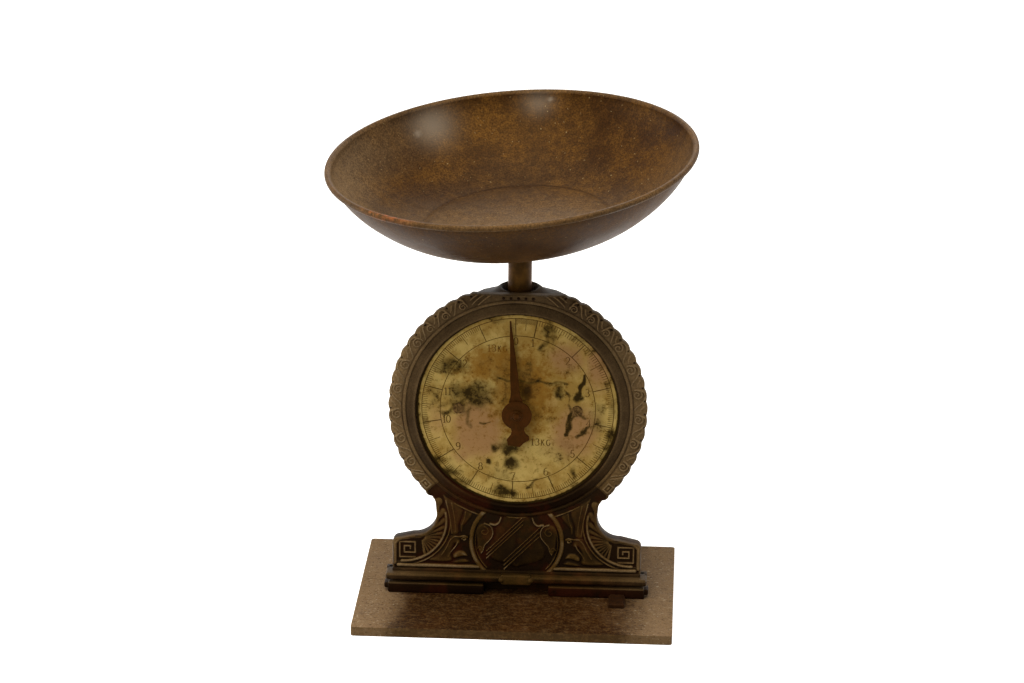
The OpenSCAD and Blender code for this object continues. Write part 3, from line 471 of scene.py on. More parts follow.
def run_tree(name, tree, geometry, finish, values):
    """Ends a tree, runs it once, and keeps its result as a plain mesh."""
    real = put(tree, "GeometryNodeRealizeInstances", {}, {"Geometry": geometry}).outputs[0]
    done = put(tree, "GeometryNodeSetMaterial", {}, {"Geometry": real, "Material": finish}).outputs[0]
    put(tree, "NodeGroupOutput", {}, {"Geometry": done})
    piece = place_data(name, bpy.data.meshes.new(name))
    modifier = piece.modifiers.new("build", "NODES")
    modifier.node_group = tree
    for key, value in values.items():
        modifier[key] = value
    bake_modifiers(piece)
    return piece


def grid_faces(rows, cols, wrap=False):
    """Quads of a grid whose points run along each row."""
    faces = []
    for i in range(rows - 1):
        row, above = i*cols, (i + 1)*cols
        for j in range(cols if wrap else cols - 1):
            k = (j + 1) % cols
            faces.append((row + j, row + k, above + k, above + j))
    return faces


def turned(profile, turns):
    """Points and faces of a closed profile of (radius, height) turned about the height."""
    angles = np.linspace(0, 2*math.pi, turns, endpoint=False)
    rows = [[(r*math.cos(a), r*math.sin(a), h) for a in angles] for r, h in profile]
    verts = [p for row in rows for p in row]
    return np.array(verts), grid_faces(len(rows), turns, wrap=True)


def closing_faces(count, turns):
    """Quads from the last row of a turned profile back to its first."""
    last = (count - 1)*turns
    return [(last + j, last + (j + 1) % turns, (j + 1) % turns, j) for j in range(turns)]


def to_front(local):
    """Turns points given as X right, Y up and Z to the front, about the dial's axis."""
    return np.stack([local[:, 0], -local[:, 2], local[:, 1] + DIAL_Z], 1)


def slab(front, back_f):
    """A closed body from a grid of (x, z, f) down to a flat back."""
    rows, cols, _ = front.shape
    top = front.reshape(-1, 3)
    edge = ([(0, j) for j in range(cols)] + [(i, cols - 1) for i in range(1, rows)]
            + [(rows - 1, j) for j in range(cols - 2, -1, -1)] + [(i, 0) for i in range(rows - 2, 0, -1)])
    rim = [i*cols + j for i, j in edge]
    foot = top[rim].copy()
    foot[:, 2] = back_f
    every = np.concatenate([top, foot])
    verts = np.stack([every[:, 0], -every[:, 2], every[:, 1]], 1)
    base = len(top)
    faces = grid_faces(rows, cols)
    n = len(rim)
    faces += [(rim[k], rim[(k + 1) % n], base + (k + 1) % n, base + k) for k in range(n)]
    faces.append(tuple(base + k for k in range(n)))
    return verts, faces


def rounded_block(x0, x1, f0, f1, z0, z1, radius, steps=3):
    """Object of a block with rounded edges."""
    work = bmesh.new()
    bmesh.ops.create_cube(work, size=1.0)
    for v in work.verts:
        v.co = Vector(((x0 + x1)/2 + v.co.x*(x1 - x0), -(f0 + f1)/2 + v.co.y*(f1 - f0),
                       (z0 + z1)/2 + v.co.z*(z1 - z0)))*MM
    bmesh.ops.bevel(work, geom=work.edges[:], offset=radius*MM, segments=steps, profile=0.5, affect="EDGES")
    mesh = bpy.data.meshes.new("block")
    work.to_mesh(mesh)
    work.free()
    return place_data("block", mesh)


# Drawn relief


def bend_through(points, steps=6):
    """A smooth curve through control points."""
    p = np.array(points, float)
    ends = np.vstack([2*p[0] - p[1], p, 2*p[-1] - p[-2]])
    out = []
    for i in range(1, len(ends) - 2):
        a, b, c, d = ends[i - 1:i + 3]
        for t in np.arange(steps)/steps:
            out.append(0.5*(2*b + (c - a)*t + (2*a - 5*b + 4*c - d)*t*t + (3*b - a - 3*c + d)*t**3))
    return np.array(out + [p[-1]])


def round_curve(centre, radius, start, stop, steps=24, end_radius=None):
    """An arc, or a spiral where end_radius is given; degrees from +X towards +Z."""
    angle = np.radians(np.linspace(start, stop, steps + 1))
    radii = np.linspace(radius, radius if end_radius is None else end_radius, steps + 1)
    return np.stack([centre[0] + radii*np.cos(angle), centre[1] + radii*np.sin(angle)], 1)


def raise_line(height, places, line, half, lift, half_end=None, soft=0.5):
    """Raises a rounded ridge along a line; its half width may taper to half_end."""
    line = np.asarray(line, float)
    half_end = half if half_end is None else half_end
    reach = max(half, half_end)
    box = np.all((places > line.min(0) - reach) & (places < line.max(0) + reach), axis=1)
    index = np.nonzero(box)[0]
    if not len(index):
        return
    spots = places[index]
    best = np.zeros(len(index))
    n = len(line) - 1
    for k in range(n):
        a, b = line[k], line[k + 1]
        along = b - a
        t = np.clip(((spots - a) @ along)/max(along @ along, 1e-9), 0, 1)
        gap = np.hypot(*(spots - a - t[:, None]*along).T)
        width = half + (half_end - half)*(k + t)/n
        best = np.maximum(best, 1 - (gap/width)**2)
    shape = np.clip(best, 0, 1)**soft*lift
    height[index] = np.maximum(height[index], shape)


def cut_line(height, places, line, half, depth):
    """Sinks a groove along a line."""
    ridge = np.zeros(len(places))
    raise_line(ridge, places, line, half, depth, soft=1.0)
    height -= ridge


def face_base(radius):
    """Distance of the casting's plain face at a distance from the dial's centre."""
    return np.interp(radius, [60, 69.9, 70.0, 70.3, 71.15, 72.0, 72.4, 72.8, 74, 76.6, 79, 80.2, 81.0, 82],
                     [10.1, 10.1, 10.2, 11.0, 11.35, 11.0, 10.3, 10.7, 11.2, 11.7, 11.3, 10.6, 9.6, 9.4])


# The ring: height of its flat top, radius over its lobes, and the lobes' spacing in degrees
FLAT_TOP = 75.8
RING_R = 81.2
LOBE = 6.3
# Where the flat top and the ring end, in degrees from the top
FLAT_ANGLE = math.degrees(math.acos(FLAT_TOP/(RING_R - 0.9)))
RING_END = 134.5
# Where the ornament starts outside the bezel, and the middle of the swelling band
BEZEL_EDGE = 72.2
BAND_R = 76.5
# Volutes of the running scroll, in degrees from the top, and their full step in millimetres
VOLUTES = [118.5, 105.9, 93.3, 80.7, 68.0, 55.5, 46.0, 36.5, 27.0]
VOLUTE_STEP = 16.8
# A volute's leg and spur, along and across the band from the volute's centre
VOLUTE_LEG = [(-3.0, 0.4), (-1.6, 3.4), (1.2, 4.3), (4.0, 3.2), (6.2, 0.9), (8.6, -1.8), (11.4, -3.4),
              (13.8, -3.8)]
VOLUTE_SPUR = [(8.2, 2.6), (10.0, 0.6), (12.0, -0.4)]
# Centres in the pedestal's ornament: distance from the middle, and height
ROUNDEL_CENTRE = (0, 41)
FAN_CENTRE = (72.5, 54)
SHOULDER = (65.2, 58)


def ring_edge(angle):
    """Radius of the scalloped edge at an angle from the top, in degrees."""
    angle = np.abs(angle)
    depth = sizes().lobe_lift/MM
    lobes = RING_R - depth*(1 - np.abs(np.cos(np.radians(180*(angle - FLAT_ANGLE)/LOBE))))
    return np.minimum(lobes, FLAT_TOP/np.maximum(np.cos(np.radians(angle)), 0.2))


def ring_relief(angle, radius):
    """Height of the running scroll over the ring's swelling band."""
    mm = math.pi/180*BAND_R
    places = np.stack([np.abs(angle)*mm, radius - BAND_R], 1)
    height = np.zeros(len(places))
    lift = sizes().ornament_lift/MM*0.6

    def stroke(points, half, share=1.0, half_end=None):
        raise_line(height, places, bend_through(points), half, lift*share, half_end)

    for k, centre in enumerate(VOLUTES):
        c = np.array([centre*mm, -1.2])
        step = VOLUTE_STEP if k == 0 else (VOLUTES[k - 1] - centre)*mm
        size = min(1.0, step/VOLUTE_STEP)
        # The volute winds in at the outer edge, and its leg runs down to the next one
        raise_line(height, places, round_curve(c + (0, 0.3), 3.5*size, 200, -330, 34, 0.7), 0.5, lift, 0.35)
        stroke([(c[0] + size*a, b - 0.4) for a, b in VOLUTE_LEG], 0.55, 1.0, 0.35)
        stroke([(c[0] + size*a, b) for a, b in VOLUTE_SPUR], 0.5, 0.7, 0.25)
    # Square knot at the end of the scroll
    left, right, low, top = 129.6*mm, 133.6*mm, -1.6, 2.2
    raise_line(height, places, [(left, low), (right, low), (right, top), (left, top), (left, low)], 0.5, lift)
    raise_line(height, places, [(131*mm, 0.3), (132.2*mm, 0.3)], 0.7, lift)
    stroke([(123.4*mm, 2.6), (125*mm, 0.4), (127.4*mm, -2.8)], 1.0, 1.0, 0.4)
    # Long leaves that run in from the row of beads
    stroke([(7.5*mm, 2.4), (11.5*mm, 1.6), (15.5*mm, -0.6), (20.0*mm, -3.6)], 0.6, 0.9, 0.4)
    stroke([(12.0*mm, 2.8), (15.5*mm, 2.2), (19.0*mm, 0.6), (22.5*mm, -1.8)], 0.55, 0.9, 0.35)
    stroke([(16.5*mm, 3.4), (19.5*mm, 2.8), (22.5*mm, 1.4)], 0.5, 0.8, 0.3)
    # Grooves between the lobes of the edge
    first = FLAT_ANGLE + LOBE/2
    for k in range(18):
        a = (first + k*LOBE)*mm
        cut_line(height, places, [(a, 5.2), (a - 0.9, 3.6), (a - 1.6, 2.8)], 0.7, 0.6)
    return height


def arc_points(x, z, radius, angles):
    """Points of an arc at angles in degrees from +X towards +Z."""
    return [(x + radius*math.cos(math.radians(a)), z + radius*math.sin(math.radians(a))) for a in angles]


def outline_half(z):
    """Half width of the pedestal at each height, and the heights of the outline's points."""
    pts = [(78.9, 20.0), (78.9, 37.3)]
    pts += arc_points(74.9, 37.3, 4, (16, 32, 48, 64, 80))
    pts += arc_points(*SHOULDER, 14.5, range(270, 168, -6))
    pts += [(51.5, 67.0), (53.9, 70.6)]
    pts += arc_points(54.5, 74, 3.4, (-70, -50, -30, -10))
    pts += [(57.7, 74.0), (54.5, 77.0), (49.4, 82.0)]
    x, h = np.array(pts).T
    return np.interp(z, h, x), h


def raise_leaf(height, places, outline, lift, soft):
    """Raises a shape that swells from its outline up to a height, over a soft distance."""
    line = np.array(outline + outline[:1], float)
    box = np.all((places > line.min(0)) & (places < line.max(0)), axis=1)
    index = np.nonzero(box)[0]
    if not len(index):
        return
    spots = places[index]
    inside = np.zeros(len(index), bool)
    gap = np.full(len(index), 1e9)
    for a, b in zip(line[:-1], line[1:]):
        along = b - a
        t = np.clip(((spots - a) @ along)/max(along @ along, 1e-9), 0, 1)
        gap = np.minimum(gap, np.hypot(*(spots - a - t[:, None]*along).T))
        crosses = (a[1] > spots[:, 1]) != (b[1] > spots[:, 1])
        with np.errstate(divide="ignore", invalid="ignore"):
            at = a[0] + (spots[:, 1] - a[1])/(b[1] - a[1])*(b[0] - a[0])
        inside ^= crosses & (spots[:, 0] < at)
    rise = np.where(inside, lift*np.sqrt(1 - np.clip(1 - gap/soft, 0, 1)**2), 0)
    height[index] = np.maximum(height[index], rise)


def pedestal_relief(x, z):
    """Height of the pedestal's ornament: roundel with a shield, leaves, fans and keys."""
    lift = sizes().ornament_lift/MM
    plane = np.stack([x, z], 1)
    side = np.stack([np.abs(x), z], 1)
    height = np.zeros(len(x))

    def ridge(line, half, share=1.0, half_end=None, places=side, soft=0.5):
        raise_line(height, places, line, half, lift*share, half_end, soft)

    def curve(points, half, share=1.0, half_end=None):
        raise_line(height, side, bend_through(points), half, lift*share, half_end)

    def leaf(points, share, soft):
        closed = bend_through(points + points[:1], 4)[:-1]
        raise_leaf(height, side, [tuple(p) for p in closed], lift*share, soft)

    # Shield, and the two curled leaves that hold it
    leaf([(-1, 23), (-1, 57), (7.0, 58.3), (10.4, 55.2), (14.6, 52.6), (14.1, 47.5), (14.8, 43.5),
          (17.4, 39.0), (18.6, 35.0), (15.5, 28.5)], 0.5, 5.0)
    leaf([(20.6, 53.6), (24.8, 51.6), (26.0, 46.5), (25.4, 40.5), (24.8, 35.2), (22.6, 32.4),
          (20.6, 34.4), (19.6, 38.4), (16.6, 42.0), (15.0, 45.6), (15.8, 50.6)], 0.62, 1.6)
    curve([(16.6, 52.9), (13.4, 52.4), (11.2, 54.2), (9.9, 57.4)], 0.95, 1.15, 0.5)
    curve([(8.2, 60.0), (5.2, 58.2), (0, 57.8)], 0.7, 1.0)
    curve([(20.4, 53.2), (16.8, 51.6), (15.2, 48.2), (15.5, 44.6), (17.6, 41.4), (20.2, 38.2),
           (21.2, 34.6), (22.4, 32.6)], 0.5, 1.15, 0.35)
    ridge(round_curve((20.6, 47.6), 3.2, 90, 470, 24, 0.7), 0.42, 0.95)
    ridge(round_curve((22.9, 35.8), 1.7, 0, 330, 16, 0.6), 0.4, 0.85)
    # Slanting strokes of the shield, each from the height of its foot
    slope = math.tan(math.radians(46))
    for foot in (54.0, 51.4, 48.9, 36.0, 33.0, 30.2):
        x0, x1 = (-19.0, 4.0) if foot > 40 else (-8.0, 15.5)
        ridge([(x0, foot + x0*slope), (x1, foot + x1*slope)], 0.36, 0.92, places=plane)
    # Roundel's broad band, and its thin inner line
    ridge(round_curve(ROUNDEL_CENTRE, 28.8, -60, 62, 50), 1.5, 1.05, soft=0.3)
    ridge(round_curve(ROUNDEL_CENTRE, 26.2, -44, 20, 30), 0.4, 0.75)
    # Leaves between roundel and fan
    leaf([(46.8, 72), (45.0, 62), (43.6, 52), (42.6, 45.2), (39.4, 44.0), (36.6, 46.6), (36.4, 52),
          (34.6, 57), (33.8, 62), (38.4, 66.6)], 0.72, 3.2)
    leaf([(33.0, 62.4), (28.2, 59.8), (29.8, 55.8), (33.4, 51.2), (35.0, 46.4), (36.2, 52.0),
          (34.8, 57.2)], 0.6, 2.0)
    leaf([(42.6, 44.6), (46.2, 38.0), (51.0, 31.4), (56.0, 27.0), (47.6, 25.4), (41.0, 27.2),
          (41.2, 32.8), (39.2, 38.0), (36.0, 38.6), (35.4, 42.6), (38.4, 44.8)], 0.74, 2.8)
    leaf([(30.6, 30.4), (33.0, 33.6), (37.0, 34.0), (40.4, 31.4), (39.6, 28.6), (35.2, 29.8)], 0.95, 1.8)
    leaf([(29.4, 26.4), (33.0, 28.4), (38.0, 27.4), (41.0, 25.4), (35.0, 25.0)], 0.6, 1.4)
    curve([(44.8, 68.0), (42.6, 58.0), (41.4, 50.0), (41.0, 45.6)], 0.6, 1.05, 0.35)
    curve([(41.2, 66.6), (39.6, 58.0), (38.8, 51.0), (38.9, 46.6)], 0.5, 1.0, 0.3)
    curve([(32.4, 60.8), (33.0, 56.4), (34.8, 51.6)], 0.45, 0.85, 0.3)
    curve([(31.2, 43.4), (33.2, 44.2), (36.0, 43.6), (39.6, 43.4), (42.4, 40.6), (44.4, 36.0),
           (47.6, 30.6)], 0.7, 1.1, 0.4)
    curve([(37.0, 40.6), (38.6, 37.0), (41.6, 33.0), (43.4, 29.4)], 0.55, 0.95, 0.35)
    ridge(round_curve((33.2, 42.2), 1.3, 0, 300, 14, 0.6), 0.7, 1.1)
    ridge(round_curve((0, DIAL_Z), 75.4, -58.5, -73.5, 20), 0.5, 0.8)
    # Fan: broad ribs with narrow grooves between, inside two arcs
    hub = np.array([60.4, 42.6])
    off = hub - np.array(FAN_CENTRE)
    for k in range(12):
        a = math.radians(114 + k*13.2)
        way = np.array([math.cos(a), math.sin(a)])
        far = -(off @ way) + math.sqrt((off @ way)**2 - (off @ off) + 26.6**2)
        ridge([hub + 2.4*way, hub + far*way], 0.5, 0.85, 0.098*far, soft=0.3)
    ridge(round_curve(FAN_CENTRE, 28.0, 168, 271, 40), 0.95, 1.15, soft=0.35)
    ridge(round_curve(FAN_CENTRE, 30.6, 178, 268, 40), 0.6, 0.95)
    # Key, border strip and the band along the shoulder
    ridge([(64.4, 28.6), (74.2, 28.6), (74.2, 39.0), (64.4, 39.0), (64.4, 31.8), (71.3, 31.8),
           (71.3, 36.2), (67.4, 36.2), (67.4, 34.2)], 0.62, 0.8)
    ridge([(77.3, 24.6), (77.3, 37.0)], 1.3, 0.85, soft=0.3)
    ridge([(64.0, 25.4), (76.4, 25.4)], 0.5, 0.7)
    band = [(77.0, 38.0), (74.4, 40.6), (70.0, 41.6), (65.6, 42.4)]
    band += arc_points(*SHOULDER, 15.6, range(262, 172, -8))
    ridge(bend_through(band + [(49.6, 66.0)], 3), 1.0, 0.85, soft=0.35)
    # Rib over the channel
    ridge([(24.4, 23.3), (75.0, 23.3)], 1.4, 1.3)
    return height


# The casting


def edge_wear(lift, cells=5):
    """How far each place stands over its surroundings on a grid, which is where paint wears off."""
    mean = lift.astype(float)
    for axis in (0, 1, 0, 1):
        pad = [(cells, cells) if k == axis else (0, 0) for k in (0, 1)]
        total = np.cumsum(np.pad(mean, pad, mode="edge"), axis)
        total = np.insert(total, 0, 0, axis)
        low = np.arange(mean.shape[axis])
        high = low + 2*cells + 1
        mean = (np.take(total, high, axis) - np.take(total, low, axis))/(2*cells + 1)
    return lift - mean


class DIALSCALE_OT_casting(bpy.types.Operator):
    """Build the cast iron front with its scroll ring, its pedestal ornament and its mouldings"""

    bl_idname = "dialscale.casting"
    bl_label = "Cast iron front"

    def execute(self, context):
        iron = japanned_iron("japanned_cast_iron")
        self.ring(iron)
        self.pedestal(iron)
        self.mouldings(iron)
        beads = bead_row(iron)
        finish_piece(beads, iron, CASING, 60)
        return {"FINISHED"}

    def ring(self, iron):
        """Ring band on a polar grid, from under the bezel to the scalloped edge."""
        angles = np.linspace(-RING_END, RING_END, 1401)
        edge = ring_edge(angles)
        inner = np.linspace(66.6, BEZEL_EDGE, 16)
        out = np.linspace(0, 1, 27)[1:]
        radii = np.concatenate([np.repeat(inner[:, None], len(angles), 1),
                                BEZEL_EDGE + (edge - BEZEL_EDGE - 0.5)[None, :]*out[:, None]])
        grid_a = np.repeat(angles[None, :], len(radii), 0)
        lift = ring_relief(grid_a.ravel(), radii.ravel()).reshape(radii.shape)
        # The scroll starts outside the bezel and leaves the flat top to the beads
        lift *= np.clip((radii - 72.4)/0.8, 0, 1)*np.clip((np.abs(grid_a) - 7.0)/2.0, 0, 1)
        f = face_base(radii) + lift
        last_f = np.minimum(f[-1] - 0.5, FACE_F)
        radii = np.vstack([radii, edge[None, :], edge[None, :]])
        f = np.vstack([f, last_f[None, :], (last_f - 1.2)[None, :]])
        grid_a = np.repeat(angles[None, :], len(radii), 0)
        rad = np.radians(grid_a)
        front = np.stack([radii*np.sin(rad), DIAL_Z + radii*np.cos(rad), f], 2)
        verts, faces = slab(front, BACK_F)
        piece = make_piece("casting_ring", verts, faces, iron, CASING, 50)
        # Painted shade keeps the top, under the pan, darker than the sides; the left side is paler than the
        # right
        ends = np.clip((np.abs(grid_a) - 20)/50, 0, 1)*np.where(grid_a < 0, 1.0, 0.62)
        raised = np.vstack([lift, lift[-1:], lift[-1:]])/0.66
        edges = np.vstack([edge_wear(lift, 4), lift[:2]*0])
        value = np.where(radii < 70.0, 0.3, 0.46 + 0.42*ends + 0.08*raised + 0.85*edges)
        value = np.where((radii > 70.6) & (radii < 72.0), 0.62 + 0.15*ends, value)
        value = np.where((radii > 72.1) & (radii < 73.0), 0.42 + 0.1*ends, value)
        value[-3:] = 0.55 + 0.2*ends[-3:]
        back = np.full(len(verts) - value.size, 0.4)
        mark_points(piece, relief=np.concatenate([value.ravel(), back]))
        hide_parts("front_casting")

    def pedestal(self, iron):
        """Pedestal face on a grid of rows that end on its outline."""
        _, marks = outline_half(np.array([30.0]))
        rows = np.arange(BASE_TOP - 0.4, 82.0, 0.34)
        extra = np.concatenate([marks[(marks > 37) & (marks < 46)], np.arange(41.3, 43.6, 0.15)])
        rows = np.unique(np.round(np.concatenate([rows, extra]), 2))
        half, _ = outline_half(rows)
        across = np.linspace(-1, 1, 455)
        x = half[:, None]*across[None, :]
        z = np.repeat(rows[:, None], len(across), 1)
        radius = np.hypot(x, z - DIAL_Z)
        from_top = np.degrees(np.arctan2(np.abs(x), z - DIAL_Z))
        f = np.where(radius > 72.6, FACE_F, np.minimum(face_base(radius), 11.4))
        lift = pedestal_relief(x.ravel(), z.ravel()).reshape(x.shape)
        lift *= np.clip((radius - BEZEL_EDGE)/0.8, 0, 1)
        f = f + lift
        # The face dips under the bezel, and under the ends of the ring
        f = np.where(radius < 66.4, 6.6, f)
        f = np.where((from_top < RING_END - 0.2) & (radius > 66.4), np.minimum(f, 9.0), f)
        # The outer edge is rounded
        gap = half[:, None] - np.abs(x)
        f = f - 0.7*np.clip(1 - gap/0.9, 0, 1)**2
        verts, faces = slab(np.stack([x, z, f], 2), BACK_F)
        piece = make_piece("casting_pedestal", verts, faces, iron, CASING, 50)
        value = np.clip(0.16 + 0.25*lift + 1.35*edge_wear(lift), 0, 1.1)
        value = np.where(radius < 72.3, 0.3, value)
        value = np.where(gap < 1.3, 0.55, value)
        back = np.full(len(verts) - value.size, 0.2)
        mark_points(piece, relief=np.concatenate([value.ravel(), back]))
        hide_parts("front_casting")

    def mouldings(self, iron):
        """Base block, ledge, plaque and foot bars, with the casting's own rear part."""
        parts = [rounded_block(-78.9, 78.9, 2.0, 12.2, 13.0, BASE_TOP, 0.6),
                 rounded_block(-82.8, 82.8, 2.0, 17.0, 15.0, 19.5, 1.6, 5),
                 rounded_block(-9.4, 9.4, 11.0, 17.8, 14.0, 20.6, 1.1, 4)]
        for s in (-1, 1):
            parts.append(rounded_block(*sorted((s*20.5, s*81.5)), 2.0, 16.0, 6.0, 13.0, 1.1, 4))
            parts.append(rounded_block(*sorted((s*79.0, s*84.0)), 6.0, 14.0, 8.2, 11.8, 0.9, 3))
            parts.append(self.knob(Vector((s*9.2, -17.3, 17.3))*MM))
        parts.append(self.rear_part())
        piece = join_meshes("casting_base", parts)
        finish_piece(piece, iron, CASING, 50)
        x, y, z = points_of(piece).T
        # Low parts are darker; the top of the ledge's front is painted lighter, a painted highlight from
        # above; the plaque and a line along the top of the feet are paler
        value = np.where(z < 13.2, 0.06, 0.3)
        value = np.where((y < -14) & (z > 18.3), 0.5, value)
        value = np.where((y < -16.9) & (np.abs(x) < 11.2), 0.6, value)
        value = np.where((y < -14.2) & (z > 12.2) & (z < 13.2), 0.45, value)
        mark_points(piece, relief=value)
        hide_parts("front_casting")

    def knob(self, place):
        """Round knob at an end of the plaque."""
        work = bmesh.new()
        bmesh.ops.create_uvsphere(work, u_segments=20, v_segments=12, radius=1.75*MM,
                                  matrix=Matrix.Translation(place))
        mesh = bpy.data.meshes.new("knob")
        work.to_mesh(mesh)
        work.free()
        return place_data("knob", mesh)

    def rear_part(self):
        """The casting behind the ornament, without the flat faces that the ornament's back covers."""
        rear = cad_copy("front_casting", "rear", (Vector((0, -BACK_F, 0))*MM, Vector((0, -1, 0))))
        with opened(rear.data) as work:
            flat = [f for f in work.faces if all(abs(v.co.y + BACK_F*MM) < 2e-6 for v in f.verts)]
            bmesh.ops.delete(work, geom=flat, context="FACES")
        return rear


# The row of beads: distance in front, height and step, millimetres
BEADS_F = 11.4
BEADS_Z = 204.0
BEADS_STEP = 4.6


def bead_row(iron):
    """Geometry Nodes: a straight row of beads on the ring's flat top."""
    tree, given, values = start_tree("bead_row", [
        ("Beads", "Int", sizes().bead_count), ("Radius", "Float", sizes().bead_size),
        ("Spacing", "Float", BEADS_STEP*MM), ("Finish", "Material", iron)])
    # The row is centred, so it starts half its length to the left
    span = put(tree, "ShaderNodeMath", {"operation": "MULTIPLY_ADD"}, {
        0: given["Beads"], 1: -0.5, 2: 0.5}).outputs[0]
    left = put(tree, "ShaderNodeMath", {"operation": "MULTIPLY"}, {0: span, 1: given["Spacing"]}).outputs[0]
    start = put(tree, "ShaderNodeCombineXYZ", {}, {"X": left, "Y": -BEADS_F*MM, "Z": BEADS_Z*MM}).outputs[0]
    step = put(tree, "ShaderNodeCombineXYZ", {}, {"X": given["Spacing"]}).outputs[0]
    line = put(tree, "GeometryNodeMeshLine", {}, {
        "Count": given["Beads"], "Start Location": start, "Offset": step}).outputs[0]
    ball = put(tree, "GeometryNodeMeshUVSphere", {}, {
        "Segments": 16, "Rings": 10, "Radius": given["Radius"]}).outputs[0]
    placed = put(tree, "GeometryNodeInstanceOnPoints", {}, {"Points": line, "Instance": ball}).outputs[0]
    return run_tree("ring_beads", tree, placed, given["Finish"], values)


# Dial, figures and bezel

# Degrees from the top, clockwise, of each kilogram, as the old dial is marked
KILOS = [-1.7, 11.5, 43.4, 74.6, 100.4, 129.8, 156.3, 183.2, 210.6, 235.3, 260.2, 283.9, 310.7, 335.9]

# Stains: x, z, radius across and up, strength; millimetres from the dial's centre. The soft ones at (7, 27)
# and (16, 13), right of the pointer, are painted shadow of the pointer
STAINS_AND_SHADOW = [(-30, 10, 15, 7, 0.95), (-25, 6, 9, 7, 0.95), (-36, 3, 10, 6, 0.7), (-42, 28, 10, 7, 0.8),
          (35.5, -42, 2, 5, 0.9), (-52, 8, 6, 12, 0.5), (50, -8, 6, 10, 0.5), (30, -30, 12, 10, 0.35),
          (-12, -44, 12, 8, 0.35), (40, 48, 10, 6, 0.45), (7, 27, 17, 15, 0.3), (16, 13, 8, 8, 0.2),
          (12, -2, 8, 12, 0.4), (-8, 0, 8, 12, 0.4), (57, 20, 4, 7, 0.5), (60, 4, 3, 8, 0.5),
          (54, -30, 6, 6, 0.5), (38, -50, 8, 4, 0.5), (-30, 11, 10, 5, 0.75), (-36, 6, 4, 6, 0.7),
          (-24, 15, 8, 5, 0.6), (-21, 5, 3, 3, 0.8), (-38, 2, 3, 3, 0.9), (-34, 26, 6, 5, 0.55),
          (-39, 33, 5, 3, 0.5), (37.5, 8.8, 2.6, 2.9, 1.5), (26, 12, 3.4, 5, 0.9), (24, 17, 7, 1.6, 0.6),
          (-4.6, -36.3, 3.9, 3.9, 1.6), (-18, -36, 2.1, 2.1, 1.4), (-14.6, -27, 2.2, 2.2, 1.2),
          (-9, -55, 6, 4.4, 1.1), (-3, -57, 4, 3, 0.8), (7.9, -51.6, 3, 1.4, 0.7),
          (58.4, -17, 3, 6, 1.0), (56, -24, 3, 3, 0.8), (-63, 3, 2.4, 4, 0.9),
          (-5, -25.5, 5.5, 4.4, 1.4), (4.5, 10, 4.5, 9, 0.4), (41.2, -14.0, 2.4, 2.4, 1.1),
          (-52, -36, 8, 4, 0.9), (-44, -44, 9, 4, 0.9), (-36, -50, 7, 4, 0.7), (19, 53, 4.6, 5, 0.9),
          (22, 47, 3, 5, 0.7), (-14, 59, 9, 3, 0.6), (36, 47, 5, 3, 0.5), (46, 41, 5, 4, 0.5),
          (55, 31, 5, 4, 0.6), (-46, 2, 5, 2, 0.6), (-45, -3, 5, 2, 0.7), (-50, 44, 5, 5, 0.5),
          (-57, 22, 3, 8, 0.45), (-58, -10, 3, 8, 0.4), (51, 2, 4, 5, 0.5), (12, -9, 5, 3, 0.35),
          (33, 27, 6, 5, 0.4), (17, 40, 8, 8, 0.35), (-10, 22, 10, 8, 0.35), (6, 30, 6, 6, 0.4),
          (47, -40, 3, 3, 0.6), (20, -6, 4, 4, 0.45)]

# Runs of dirt: points, half width, strength
STREAKS = [([(41.8, 23.5), (39.5, 15), (37.5, 9)], 0.9, 1.5),
           ([(32.8, -2.5), (32.2, -10), (30.3, -16.4)], 1.3, 1.2),
           ([(30, 14), (32.5, 5), (32.6, -3)], 0.7, 0.7),
           ([(44.5, -11), (42, -13.5), (38, -17)], 1.1, 1.0),
           ([(-12, 20), (4, 18.5), (16, 18.5), (31, 18)], 0.8, 0.75),
           ([(20, 62), (19, 50), (14, 40)], 1.7, 0.75), ([(-46, -4), (-39, 1), (-34, 6)], 1.2, 0.8),
           ([(-32, -2), (-30, -13)], 1.2, 0.6), ([(-24, -10), (-17, -9)], 0.5, 0.7),
           ([(33, -7), (37, -3), (41, -5)], 1.0, 0.8), ([(6, -52), (12, -47)], 0.8, 0.8),
           ([(-30, 13), (-33, 5)], 1.0, 0.9)]

# Rust and the pink undercoat, given like the stains. The first rust, dark maroon right of the pointer's hub,
# is painted shadow of the pointer
RUSTS_AND_SHADOW = [(6, 12.5, 4.5, 8.5, 2.0), (-9, 27, 9, 14, 1.05), (-21, 31, 9, 8, 1.0), (-20, 26, 11, 8, 0.9),
         (-15, 33, 5, 4, 0.5), (-28, 20, 8, 4, 0.5), (-38, 24, 4, 3, 0.7), (-26, 30, 5, 4, 0.5),
         (5, 16, 15, 20, 1.25), (2, -2, 16, 15, 1.0), (10, 22, 10, 8, 0.5), (-6, 12, 10, 11, 1.0),
         (28, 22, 8, 5, 0.3), (-8, -14, 5, 6, 0.4), (8, -18, 6, 6, 0.4)]
BLUSHES = [(-25, -14, 15, 19, 1.2), (50, 30, 9, 18, 0.9), (36, -14, 14, 17, 1.15),
           (30, 34, 13, 11, 0.95), (-50, -8, 8, 14, 0.5), (22, 2, 9, 12, 0.4), (-34, -30, 9, 8, 0.6)]


def spread(x, z, spots):
    """The strongest of some soft elliptic spots at each place."""
    total = np.zeros(x.shape)
    for cx, cz, rx, rz, strength in spots:
        total = np.maximum(total, strength*np.exp(-0.9*(((x - cx)/rx)**2 + ((z - cz)/rz)**2)))
    return total


